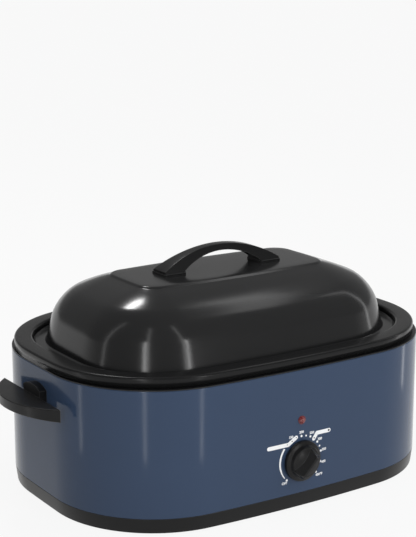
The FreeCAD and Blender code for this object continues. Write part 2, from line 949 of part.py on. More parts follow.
def terminal_centres():
    """Screw centres of the ways, along -X of the inlet."""
    pitch = terminal_length / terminal_ways
    first = -terminal_x - terminal_length / 2 + pitch / 2
    y = rear_y - terminal_gap - terminal_depth / 2
    return [(first + way * pitch, y) for way in range(terminal_ways)]


def terminal_block():
    low_x = -terminal_x - terminal_length / 2
    low_y = rear_y - terminal_gap - terminal_depth
    block = box((low_x, low_y, terminal_z), (low_x + terminal_length, low_y + terminal_depth, terminal_top))
    holes = []
    low = terminal_top - terminal_hole_depth
    for x, y in terminal_centres():
        holes.append(rod(terminal_hole_radius, (x, y, low), (x, y, terminal_top)))
    return block.cut(group(holes))


def terminal_screws():
    low = terminal_top - terminal_hole_depth
    high = terminal_top - terminal_screw_sink
    return group([rod(terminal_screw_radius, (x, y, low), (x, y, high)) for x, y in terminal_centres()])


def thermal_cutoff():
    z = well_under_z - cutoff_radius - fit_gap
    half = cutoff_length / 2
    barrel = rod(cutoff_radius, (cutoff_x - half, 0, z), (cutoff_x + half, 0, z))
    low_x = cutoff_x - half - cutoff_lead
    high_x = cutoff_x + half + cutoff_lead
    return merge([barrel, rod(cutoff_lead_radius, (low_x, 0, z), (high_x, 0, z))])


def cutoff_clip():
    """Saddle strap round the cut-off, with an ear on each side against the well's floor."""
    z = well_under_z - cutoff_radius - fit_gap
    inner = cutoff_radius + fit_gap
    outer = inner + cutoff_clip_wall
    ear = outer + cutoff_clip_ear
    low_x = cutoff_x - cutoff_clip_length / 2
    high_x = cutoff_x + cutoff_clip_length / 2
    curve = rod(outer, (low_x, 0, z), (high_x, 0, z))
    curve = curve.common(box((low_x, -outer, z - outer), (high_x, outer, z)))
    sides = box((low_x, -outer, z), (high_x, outer, well_under_z))
    ears = box((low_x, -ear, well_under_z - cutoff_clip_wall), (high_x, ear, well_under_z))
    strap = merge([curve, sides, ears]).cut(rod(inner, (low_x, 0, z), (high_x, 0, z)))
    return strap.cut(box((low_x, -inner, z), (high_x, inner, well_under_z)))


def lead_round_end(z, start_x, finish_x):
    """Lead that follows the body round its -X end, from the rear side to the front side."""
    arcs = outline_arcs(body)
    rear = arcs[2]._replace(start=math.acos(start_x / lead_radius_of_side))
    front = arcs[6]._replace(finish=2 * math.pi - math.acos(finish_x / lead_radius_of_side))
    run = [rear] + arcs[3:6] + [front]
    pieces = []
    for arc in run:
        start = arc_point(arc, lead_inset, arc.start, z)
        heading = V(-math.sin(arc.start), math.cos(arc.start), 0)
        ring = Part.Face(Part.Wire(Part.makeCircle(lead_radius, start, heading)))
        turn = math.degrees(arc.finish - arc.start)
        pieces.append(ring.revolve(V(arc.x, arc.y, 0), Z_AXIS, turn))
    return merge(pieces)


def internal_wires():
    leads = []
    for index in range(2):
        z = skirt_flange_top + lead_rise + index * lead_pitch
        rear_x = terminal_centres()[index][0]
        front_x = (index - 1) * lead_spread
        run = lead_round_end(z, rear_x, front_x)
        rear_y_here = lead_side_y(rear_x)
        front_y_here = -lead_side_y(front_x)
        riser = rod(lead_radius, (rear_x, rear_y_here, z), (rear_x, rear_y_here, terminal_z))
        front_top = knob_z - thermostat_height / 2
        drop = rod(lead_radius, (front_x, front_y_here, z), (front_x, front_y_here, front_top))
        leads.append(merge([run, riser, drop]))
    return group(leads)


def lead_side_y(x):
    """Distance from the centre line of a lead that runs along the long side, at this x."""
    return rear_y - body_side_radius + math.sqrt(lead_radius_of_side ** 2 - x ** 2)


# ---- side handles ------------------------------------------------------------------------------
def handle_plan(inset, low, high):
    """D-shaped plate: straight inner edge, arced outer edge, moved inwards by inset."""
    inner_x = end_x + handle_gap + inset
    half = handle_length / 2
    sagitta = handle_reach - handle_gap
    radius = (half ** 2 + sagitta ** 2) / (2 * sagitta)
    centre_x = end_x + handle_reach - radius
    disc = rod(radius - inset, (centre_x, 0, low), (centre_x, 0, high))
    keep = box((inner_x, -half, low), (end_x + handle_reach, half, high))
    return disc.common(keep)


def side_handle_right():
    low_z = handle_top_z - handle_depth - handle_end_drop
    shell = handle_plan(0, low_z, handle_top_z)
    cavity = handle_plan(handle_skirt, low_z, handle_top_z - handle_plate)
    half_open = handle_length / 2 - handle_end_wall
    back_x = end_x + handle_gap + handle_skirt
    open_back = box((end_x, -half_open, low_z), (back_x, half_open, handle_top_z - handle_plate))
    shell = shell.cut(cavity).cut(open_back).cut(handle_belly())
    shell = shell.makeFillet(handle_edge, [edge for edge in shell.Edges if top_rim_edge(edge)])
    return fit_to_wrap(merge([shell, handle_pad()]))


def handle_belly():
    """Large cylinder that arches the handle's lower edge up towards its middle."""
    half = handle_length / 2
    radius = (half ** 2 + handle_end_drop ** 2) / (2 * handle_end_drop)
    z = handle_top_z - handle_depth - radius
    return rod(radius, (end_x, 0, z), (end_x + handle_reach, 0, z))


def top_rim_edge(edge):
    """True for the plate's outer top edge."""
    centre = edge.CenterOfMass
    return abs(edge.BoundBox.ZMin - handle_top_z) < 0.01 and centre.x > end_x + handle_gap + handle_skirt


def handle_pad():
    """Mounting block between the wrap and the plate, with a low arched top."""
    half = handle_pad_width / 2
    low_z = handle_top_z - handle_pad_height
    inner_x = end_x - cut_room
    outer_x = end_x + handle_gap
    below = box((inner_x, -half, low_z), (outer_x + handle_pad_run_in, half, handle_top_z))
    eave_z = handle_top_z + handle_pad_side
    above = box((inner_x, -half, handle_top_z), (outer_x, half, eave_z))
    start = V(inner_x, -half, eave_z)
    crown = V(inner_x, 0, eave_z + handle_pad_arch)
    finish = V(inner_x, half, eave_z)
    arch = Part.Face(Part.Wire([Part.Arc(start, crown, finish).toShape(), Part.makeLine(finish, start)]))
    return merge([below, above, arch.extrude(V(outer_x - inner_x, 0, 0))])


def fit_to_wrap(handle):
    """Trim a handle to the wrap's face and drill its screw holes."""
    handle = handle.cut(oval_prism(body, 0, 0, wrap_top_z))
    for y, z in handle_screw_places():
        handle = handle.cut(rod(handle_screw_radius + fit_gap, (end_x - cut_room, y, z), (hole_end_x, y, z)))
    return handle


def handle_bracket():
    outer = bracket_inner_x + bracket_thickness
    half = handle_pad_width / 2 - bracket_margin
    tall = handle_pad_height / 2 - bracket_margin
    low = (bracket_inner_x, -half, handle_pad_mid_z - tall)
    plate = box(low, (outer, half, handle_pad_mid_z + tall))
    for y, z in handle_screw_places():
        plate = plate.cut(rod(handle_screw_radius + fit_gap, (bracket_inner_x, y, z), (outer, y, z)))
    return plate


def handle_screw_pair():
    head_x = bracket_inner_x - handle_screw_head
    tip_x = hole_end_x - handle_screw_room
    screws = []
    for y, z in handle_screw_places():
        head = rod(handle_screw_head_radius, (head_x, y, z), (bracket_inner_x, y, z))
        screws.append(merge([head, rod(handle_screw_radius, (bracket_inner_x, y, z), (tip_x, y, z))]))
    return screws


# ---- control knob ------------------------------------------------------------------------------
def control_knob():
    skirt_profile = [
        (0, 0, 0),
        (knob_radius, 0, edge_round),
        (knob_radius, knob_edge, knob_edge_round),
        (knob_foot_radius, knob_foot_height, knob_foot_round),
        (knob_shoulder_radius, knob_shoulder_height, knob_shoulder_round),
        (0, knob_shoulder_height, 0),
    ]
    dome = sphere_cap(knob_dome_radius, knob_shoulder_height, knob_dome_height)
    knob = merge([disc_profile(skirt_profile), dome, knob_ridge()])
    hollow = tube(knob_radius - knob_wall, knob_hub_radius, (0, 0, 0), (0, 0, knob_edge))
    bore_top = spindle_in_knob + bore_room
    bore = rod(spindle_radius + fit_gap, (0, 0, 0), (0, 0, bore_top))
    wide = 2 * spindle_radius
    key = box((-wide, spindle_flat + fit_gap, spindle_flat_start), (wide, wide, bore_top))
    knob = knob.cut(hollow).cut(bore.cut(key))
    knob.rotate(ORIGIN, Z_AXIS, knob_off_angle)
    knob.translate(V(0, 0, knob_gap))
    return facing_front(knob, knob_z)


def knob_ridge():
    """Grip ridge: a straight wedge that points along +Y and slopes down at its back end."""
    half = knob_ridge_width / 2
    crest = knob_ridge_crest / 2
    across = [
        (-half, knob_edge, 0),
        (-half, knob_shoulder_height, 0),
        (-crest, knob_ridge_height, 0),
        (crest, knob_ridge_height, 0),
        (half, knob_shoulder_height, 0),
        (half, knob_edge, 0),
    ]
    along = [
        (-knob_ridge_back - knob_ridge_back_run, knob_edge, 0),
        (-knob_ridge_back, knob_ridge_height, knob_ridge_end_round),
        (knob_ridge_front, knob_ridge_height, knob_ridge_end_round),
        (knob_ridge_front, knob_edge, 0),
    ]
    wedge = rounded_face(across, lambda u, v: V(u, -knob_radius, v)).extrude(V(0, 2 * knob_radius, 0))
    wedge = wedge.makeFillet(knob_ridge_round, [edge for edge in wedge.Edges if crest_edge(edge)])
    return wedge.common(rounded_face(along, lambda y, z: V(-half, y, z)).extrude(V(2 * half, 0, 0)))


def crest_edge(edge):
    """True for the two long edges of the knob ridge's crest."""
    return edge.BoundBox.ZMin > knob_ridge_height - 0.01 and edge.BoundBox.YLength > knob_radius


def knob_clip():
    """Spring sleeve round the knob's hub."""
    inner = knob_hub_radius + fit_gap
    sleeve = tube(inner + knob_clip_wall, inner, (0, 0, edge_round), (0, 0, knob_edge - edge_round))
    slot = box((-knob_clip_slot / 2, 0, 0), (knob_clip_slot / 2, knob_radius, knob_edge))
    clip = sleeve.cut(slot)
    clip.translate(V(0, 0, knob_gap))
    return facing_front(clip, knob_z)


# ---- roasting pan ------------------------------------------------------------------------------
def roasting_pan():
    path = [
        (0, pan_rim_z - pan_lip_height, 0),
        (0, pan_rim_z, pan_rim_round),
        (pan_rim_width, pan_rim_z, pan_rim_round),
        (pan_rim_width, pan_ledge_z, pan_ledge_round),
        (pan_well_inset, pan_ledge_z, pan_step_round),
        (pan_well_inset + pan_draft, pan_floor_z, pan_bottom_radius),
        (pan_floor_inset, pan_floor_z, 0),
    ]
    walls = sweep_section(pan, strip(path, pan_wall))
    floor = oval_prism(pan, pan_floor_inset, pan_floor_z - pan_wall, pan_floor_z)
    return merge([walls, floor])


# ---- rack --------------------------------------------------------------------------------------
def rack_frame():
    signs = [(1, 1), (-1, 1), (-1, -1), (1, -1)]
    corners = [(i * rack_half_x, j * rack_half_y, rack_corner) for i, j in signs]
    pieces = []
    for edge in rounded_edges(corners, lambda x, y: V(x, y, rack_z)):
        start = edge.valueAt(edge.FirstParameter)
        heading = edge.tangentAt(edge.FirstParameter)
        ring = Part.Face(Part.Wire(Part.makeCircle(frame_wire, start, heading)))
        if isinstance(edge.Curve, Part.Circle):
            turn = math.degrees(edge.LastParameter - edge.FirstParameter)
            pieces.append(ring.revolve(edge.Curve.Center, edge.Curve.Axis, turn))
        else:
            pieces.append(ring.extrude(heading * edge.Length))
    return merge(pieces)


def rack_long_wires():
    z = rack_z + frame_wire + grid_wire
    half_x = rack_half_x + grid_overlap
    wires = []
    for index in range(long_wire_count):
        y = (index - (long_wire_count - 1) / 2) * rack_long_pitch
        wires.append(rod(grid_wire, (-half_x, y, z), (half_x, y, z)))
    return group(wires)


def rack_cross_wires():
    z = rack_z - frame_wire - grid_wire
    half_y = rack_half_y + grid_overlap
    wires = []
    for index in range(cross_wire_count):
        x = (index - (cross_wire_count - 1) / 2) * rack_cross_pitch
        wires.append(rod(grid_wire, (x, -half_y, z), (x, half_y, z)))
    return group(wires)


def rack_feet():
    low = pan_floor_z + seat_gap + frame_wire
    feet = []
    for x in (-rack_foot_x, rack_foot_x):
        left = x - rack_foot_span / 2
        right = x + rack_foot_span / 2
        for side in (-1, 1):
            y = side * (rack_half_y - 2 * frame_wire)
            points = [(left, y, rack_z), (left, y, low), (right, y, low), (right, y, rack_z)]
            feet.append(bent_wire(points, frame_wire, rack_foot_bend))
    return group(feet)


def rack_bail_right():
    leg_x = rack_half_x + frame_wire + bail_wire + fit_gap
    leg_z = rack_z - frame_wire
    half = bail_width / 2
    wide = half + bail_splay
    points = [
        (leg_x, -wide, leg_z),
        (bail_x, -half, bail_top_z),
        (bail_x, half, bail_top_z),
        (leg_x, wide, leg_z),
    ]
    return bent_wire(points, bail_wire, bail_bend)


# ---- lid ---------------------------------------------------------------------------------------
def lid_path():
    """Outer surface of the lid from its upturned lip to the raised top, as (inset, z, radius)."""
    wall_foot = lid_flange_width
    shoulder = wall_foot + lid_shoulder_height * math.tan(math.radians(lid_lean))
    crown_z = lid_shoulder_height + (lid_crown_inset - shoulder) * math.tan(math.radians(lid_crown_angle))
    top_z = crown_z + (lid_top_inset - lid_crown_inset) * math.tan(math.radians(lid_top_angle))
    raised_z = top_z + lid_emboss
    heights = [
        (lid_wall, lid_wall + lid_lip_height, 0),
        (lid_wall, lid_wall, bend_radius),
        (wall_foot, lid_wall, lid_foot_round),
        (shoulder, lid_shoulder_height, lid_shoulder_radius),
        (lid_crown_inset, crown_z, lid_top_round),
        (lid_top_inset, top_z, lid_emboss_round),
        (lid_top_inset + lid_emboss_run, raised_z, lid_emboss_round),
        (lid_top_inset + lid_emboss_margin, raised_z, 0),
    ]
    return [(inset, lid_base_z + height, radius) for inset, height, radius in heights]


lid_top_z = lid_path()[-1][1]
lid_under_z = lid_top_z - lid_wall
grip_z = lid_top_z + pad_thickness
grip_opening = grip_length - 2 * grip_foot_length
lid_screw_x = grip_opening / 2 + grip_boss_length / 2 - grip_boss_show


def lid_shell():
    path = lid_path()
    walls = sweep_section(lid, strip(path, lid_wall))
    centre = oval_prism(lid, path[-1][0], lid_under_z, lid_top_z)
    shell = merge([walls, centre])
    for x in (-lid_screw_x, lid_screw_x):
        shell = shell.cut(rod(lid_screw_radius + fit_gap, (x, 0, lid_under_z), (x, 0, lid_top_z)))
    return shell


def arch_solid(half_span, rise, half_width, tip_height):
    """Segment under an arc that ends at tip_height above the grip's seat."""
    start = V(-half_span, -half_width, grip_z + tip_height)
    crown = V(0, -half_width, grip_z + rise)
    finish = V(half_span, -half_width, grip_z + tip_height)
    corners = [finish, V(half_span, -half_width, grip_z), V(-half_span, -half_width, grip_z), start]
    if tip_height == 0:
        corners = [finish, start]
    edges = [Part.Arc(start, crown, finish).toShape()]
    edges.extend(Part.makeLine(here, after) for here, after in zip(corners, corners[1:]))
    return Part.Face(Part.Wire(edges)).extrude(V(0, 2 * half_width, 0))


def grip_taper(inset):
    """Prism along the grip whose sides lean in from the feet to the crown, inset by a wall."""
    foot = grip_foot_width / 2 - inset
    top = grip_top_width / 2 - inset
    corners = [
        (-foot, grip_z, 0),
        (foot, grip_z, 0),
        (top, grip_z + grip_rise, 0),
        (-top, grip_z + grip_rise, 0),
    ]
    face = rounded_face(corners, lambda y, z: V(-grip_length / 2, y, z))
    return face.extrude(V(grip_length, 0, 0))


def lid_handle():
    half_width = grip_foot_width / 2
    outer = arch_solid(grip_length / 2, grip_rise, half_width, grip_tip_height).common(grip_taper(0))
    crown = [edge for edge in outer.Edges if not isinstance(edge.Curve, Part.Line)]
    outer = outer.makeFillet(grip_edge, crown)
    opening = arch_solid(grip_opening / 2, grip_rise - grip_crown_depth, half_width, 0)
    tunnel = arch_solid(grip_length / 2 - grip_end_wall, grip_rise - grip_strap, half_width, 0)
    strap = outer.cut(opening).cut(tunnel.common(grip_taper(grip_wall)))
    handle = merge([strap, grip_boss(-1), grip_boss(1)])
    bore_top = grip_z + grip_boss_height - grip_boss_roof
    for x in (-lid_screw_x, lid_screw_x):
        handle = handle.cut(rod(lid_screw_radius + fit_gap, (x, 0, grip_z), (x, 0, bore_top)))
    return handle


def grip_boss(side):
    """Gable-topped screw boss that ties the grip's side walls together at one foot."""
    middle = side * lid_screw_x
    half = grip_boss_length / 2
    eave = grip_z + grip_boss_height - grip_boss_gable
    ridge = grip_z + grip_boss_height
    corners = [
        (middle - half, grip_z, 0),
        (middle + half, grip_z, 0),
        (middle + half, eave, 0),
        (middle, ridge, 0),
        (middle - half, eave, 0),
    ]
    half_wide = grip_foot_width / 2
    face = rounded_face(corners, lambda x, z: V(x, -half_wide, z))
    return face.extrude(V(0, 2 * half_wide, 0)).common(grip_taper(grip_wall - grip_boss_sink))


def lid_handle_pads():
    half = grip_foot_width / 2 + pad_margin
    pads = []
    for side in (-1, 1):
        outer = side * (grip_length / 2 + pad_end_margin)
        inner = outer - side * pad_length
        low_x = min(outer, inner)
        high_x = max(outer, inner)
        pad = box((low_x, -half, lid_top_z), (high_x, half, grip_z))
        upright = [edge for edge in pad.Edges if abs(edge.tangentAt(edge.FirstParameter).z) > 0.9]
        pad = pad.makeFillet(pad_corner, upright)
        x = side * lid_screw_x
        pads.append(pad.cut(rod(lid_screw_radius + fit_gap, (x, 0, lid_top_z), (x, 0, grip_z))))
    return group(pads)


def lid_handle_washers():
    washers = []
    for x in (-lid_screw_x, lid_screw_x):
        low = (x, 0, lid_under_z - lid_washer_thickness)
        washers.append(tube(lid_washer_radius, lid_screw_radius + fit_gap, low, (x, 0, lid_under_z)))
    return group(washers)


def lid_handle_screws():
    seat = lid_under_z - lid_washer_thickness
    tip = grip_z + grip_boss_height - 2 * grip_boss_roof
    screws = []
    for x in (-lid_screw_x, lid_screw_x):
        head = rod(lid_screw_head_radius, (x, 0, seat - lid_screw_head), (x, 0, seat))
        screws.append(merge([head, rod(lid_screw_radius, (x, 0, seat), (x, 0, tip))]))
    return group(screws)


# ---- save --------------------------------------------------------------------------------------
def save(name, shape):
    """Write one piece in the shared frame and report its size."""
    placed = shape.copy()
    placed.translate(V(0, -footprint_y, 0))
    placed.exportStep("parts/" + name + ".step")
    size = placed.BoundBox
    spans = "%7.1f %7.1f %7.1f" % (size.XLength, size.YLength, size.ZLength)
    print("%-22s solids %d valid %s  %s" % (name, len(placed.Solids), placed.isValid(), spans))


def build():
    """Make every piece and save it."""
    os.makedirs("parts", exist_ok=True)
    right_handle = side_handle_right()
    right_bail = rack_bail_right()
    bracket = handle_bracket()
    screw_pair = handle_screw_pair()
    pieces = {
        "base_skirt": base_skirt(),
        "bottom_plate": bottom_plate(),
        "bottom_screws": bottom_screws(),
        "rubber_feet": rubber_feet(),
        "foot_screws": foot_screws(),
        "body_wrap": body_wrap(),
        "top_collar": top_collar(),
        "heating_well": heating_well(),
        "heater_band_lower": heater_band(band_lower_z),
        "heater_band_upper": heater_band(band_upper_z),
        "heater_clamps": heater_clamps(),
        "insulation_blanket": insulation_blanket(),
        "heat_shield": heat_shield(),
        "shield_spacer": shield_spacer(),
        "tie_stud": tie_stud(),
        "tie_washer": tie_washer(),
        "tie_nut": tie_nut(),
        "thermostat_bracket": thermostat_bracket(),
        "thermostat_screws": thermostat_screws(),
        "thermostat_bushing": thermostat_bushing(),
        "thermostat_body": thermostat_body(),
        "thermostat_sensor": thermostat_sensor(),
        "thermostat_spindle": thermostat_spindle(),
        "control_knob": control_knob(),
        "knob_clip": knob_clip(),
        "indicator_lens": indicator_lens(),
        "lens_retainer": lens_retainer(),
        "indicator_lamp": indicator_lamp(),
        "lamp_resistor": lamp_resistor(),
        "cord_gland": cord_gland(),
        "gland_nut": gland_nut(),
        "terminal_block": terminal_block(),
        "terminal_screws": terminal_screws(),
        "thermal_cutoff": thermal_cutoff(),
        "cutoff_clip": cutoff_clip(),
        "internal_wires": internal_wires(),
        "side_handle_right": right_handle,
        "side_handle_left": mirrored(right_handle, X_AXIS),
        "handle_brackets": group([bracket, mirrored(bracket, X_AXIS)]),
        "handle_screws": group(screw_pair + [mirrored(screw, X_AXIS) for screw in screw_pair]),
        "roasting_pan": roasting_pan(),
        "rack_frame": rack_frame(),
        "rack_long_wires": rack_long_wires(),
        "rack_cross_wires": rack_cross_wires(),
        "rack_feet": rack_feet(),
        "rack_bail_right": right_bail,
        "rack_bail_left": mirrored(right_bail, X_AXIS),
        "lid_shell": lid_shell(),
        "lid_handle": lid_handle(),
        "lid_handle_pads": lid_handle_pads(),
        "lid_handle_washers": lid_handle_washers(),
        "lid_handle_screws": lid_handle_screws(),
    }
    for name, shape in pieces.items():
        save(name, shape)


build()
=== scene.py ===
"""Finishes, printed dial and studio for an electric roaster oven.

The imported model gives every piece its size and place. This script dresses it: the pressed shells and
moulded rings are rebuilt with smooth surfaces and fine rounding, small trim is added where it is seen,
and every other piece gets its own finish. Lengths are in metres, +Z is up and the dial faces -Y.
"""
import json
import logging
import math
from dataclasses import dataclass
from enum import Enum
from typing import Callable, NamedTuple, Optional, Sequence

import bmesh
import bpy
from mathutils import Euler, Matrix, Vector

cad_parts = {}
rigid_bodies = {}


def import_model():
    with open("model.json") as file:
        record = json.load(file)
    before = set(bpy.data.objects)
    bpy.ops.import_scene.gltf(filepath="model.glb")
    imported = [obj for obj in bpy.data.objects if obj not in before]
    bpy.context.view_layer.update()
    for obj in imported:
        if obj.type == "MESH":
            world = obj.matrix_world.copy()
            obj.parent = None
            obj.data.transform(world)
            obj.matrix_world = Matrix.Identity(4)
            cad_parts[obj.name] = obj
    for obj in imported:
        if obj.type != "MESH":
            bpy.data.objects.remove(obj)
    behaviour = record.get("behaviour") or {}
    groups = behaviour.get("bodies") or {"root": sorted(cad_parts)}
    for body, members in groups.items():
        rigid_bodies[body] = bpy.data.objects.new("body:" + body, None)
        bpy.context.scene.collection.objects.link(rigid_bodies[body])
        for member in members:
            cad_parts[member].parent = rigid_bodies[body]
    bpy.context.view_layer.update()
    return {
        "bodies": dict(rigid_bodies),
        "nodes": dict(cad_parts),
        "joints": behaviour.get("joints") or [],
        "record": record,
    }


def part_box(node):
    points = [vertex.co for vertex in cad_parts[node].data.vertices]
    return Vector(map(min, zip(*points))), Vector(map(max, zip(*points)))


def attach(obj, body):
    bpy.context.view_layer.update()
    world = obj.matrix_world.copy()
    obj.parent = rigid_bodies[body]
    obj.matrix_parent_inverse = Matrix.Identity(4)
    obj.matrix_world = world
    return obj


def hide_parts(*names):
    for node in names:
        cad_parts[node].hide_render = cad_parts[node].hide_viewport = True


log = logging.getLogger("roaster")

Colour = tuple[float, float, float, float]
MM = 0.001
UP = Vector((0, 0, 1))

# Input sockets of a Mix node's two colours, and its colour output.
MIX_COLOURS = (6, 7)
MIX_RESULT = 2

# Sockets of the effect groups that don't carry a plain number.
SOCKET_KINDS = {"Place": "NodeSocketVector", "Colour": "NodeSocketColor", "Highlight": "NodeSocketColor"}

# Size of the broken patches in the painted highlight along edges.
HIGHLIGHT_PATCH = 9 * MM

# Steps round a plan's ends, corners and sides, and degrees between the facets of a section's rounding.
END_STEPS = 8
CORNER_STEPS = 26
SIDE_STEPS = 14
FACET_TURN = 9
FEWEST_FACETS = 3

# How far a pressed sheet's flat middle reaches in before its second ring of edges.
MIDDLE_MARGIN = 6 * MM


def link_object(name: str, data: bpy.types.ID) -> bpy.types.Object:
    """Make an object and link it into the scene.

    Args:
        name: The object's name.
        data: Its mesh, curve, lamp or camera.

    Returns:
        The object.
    """
    made = bpy.data.objects.new(name, data)
    bpy.context.scene.collection.objects.link(made)
    return made


# ---- shader effects shared by several finishes ---------------------------------------------------
class Effect(Enum):
    """The shared shader effects, each kept as one node group."""

    RIPPLE = "paint_ripple"
    HAZE = "handling_haze"
    DRIFT = "shade_drift"
    EDGE = "painted_edge_highlight"
    DRAW = "drawn_lines"
    SPANGLE = "zinc_spangle"


class NodeSheet:
    """A node tree that is filled one node at a time."""

    def __init__(self, tree: bpy.types.NodeTree) -> None:
        """Keep the tree to work on.

        Args:
            tree: The material's or group's node tree.
        """
        self.tree = tree

    def join(self, value: object, target: bpy.types.NodeSocket) -> None:
        """Link a socket to an input, or set the input to a value.

        Args:
            value: The socket or the value.
            target: The input.
        """
        if isinstance(value, bpy.types.NodeSocket):
            self.tree.links.new(value, target)
        else:
            target.default_value = value

    def add(self, kind: str, settings: Optional[dict] = None, **sockets: object) -> bpy.types.Node:
        """Add one node.

        Args:
            kind: The node's type name.
            settings: Attributes of the node itself, such as its operation.
            **sockets: Input values or sockets, named as the input with spaces as underscores.

        Returns:
            The new node.
        """
        node = self.tree.nodes.new(kind)
        for name, value in (settings or {}).items():
            setattr(node, name, value)
        for name, value in sockets.items():
            self.join(value, node.inputs[name.replace("_", " ")])
        return node

    def math(self, operation: str, *values: object) -> bpy.types.NodeSocket:
        """Add a Math node.

        Args:
            operation: The operation's name.
            *values: Its inputs in order, numbers or sockets.

        Returns:
            The result socket.
        """
        node = self.add("ShaderNodeMath", {"operation": operation})
        for value, target in zip(values, node.inputs):
            self.join(value, target)
        return node.outputs[0]

    def tint(self, first: object, second: object, share: object, blend: str = "MIX") -> bpy.types.NodeSocket:
        """Mix two colours.

        Args:
            first: The colour or socket that shows at a share of 0.
            second: The colour or socket that shows at a share of 1.
            share: The factor or its socket.
            blend: The blend mode.

        Returns:
            The mixed colour's socket.
        """
        node = self.add("ShaderNodeMix", {"data_type": "RGBA", "blend_type": blend})
        self.join(share, node.inputs["Factor"])
        for value, index in zip((first, second), MIX_COLOURS):
            self.join(value, node.inputs[index])
        return node.outputs[MIX_RESULT]


class MaterialSheet(NodeSheet):
    """The nodes of one new material, with its shader and its object coordinates."""

    def __init__(self, name: str) -> None:
        """Start the material.

        Args:
            name: The material's name.
        """
        self.material = bpy.data.materials.new(name)
        self.material.use_nodes = True
        super().__init__(self.material.node_tree)
        self.shader = self.tree.nodes["Principled BSDF"]
        self.place = self.add("ShaderNodeTexCoord").outputs["Object"]

    def dress(self, **sockets: object) -> None:
        """Link or set inputs of the shader, named as the input with spaces as underscores."""
        for name, value in sockets.items():
            self.join(value, self.shader.inputs[name.replace("_", " ")])

    def raise_surface(self, height: bpy.types.NodeSocket) -> None:
        """Turn a height in metres into the shader's normal."""
        bump = self.add("ShaderNodeBump", Height=height, Strength=1.0, Distance=1.0)
        self.dress(Normal=bump.outputs[0])


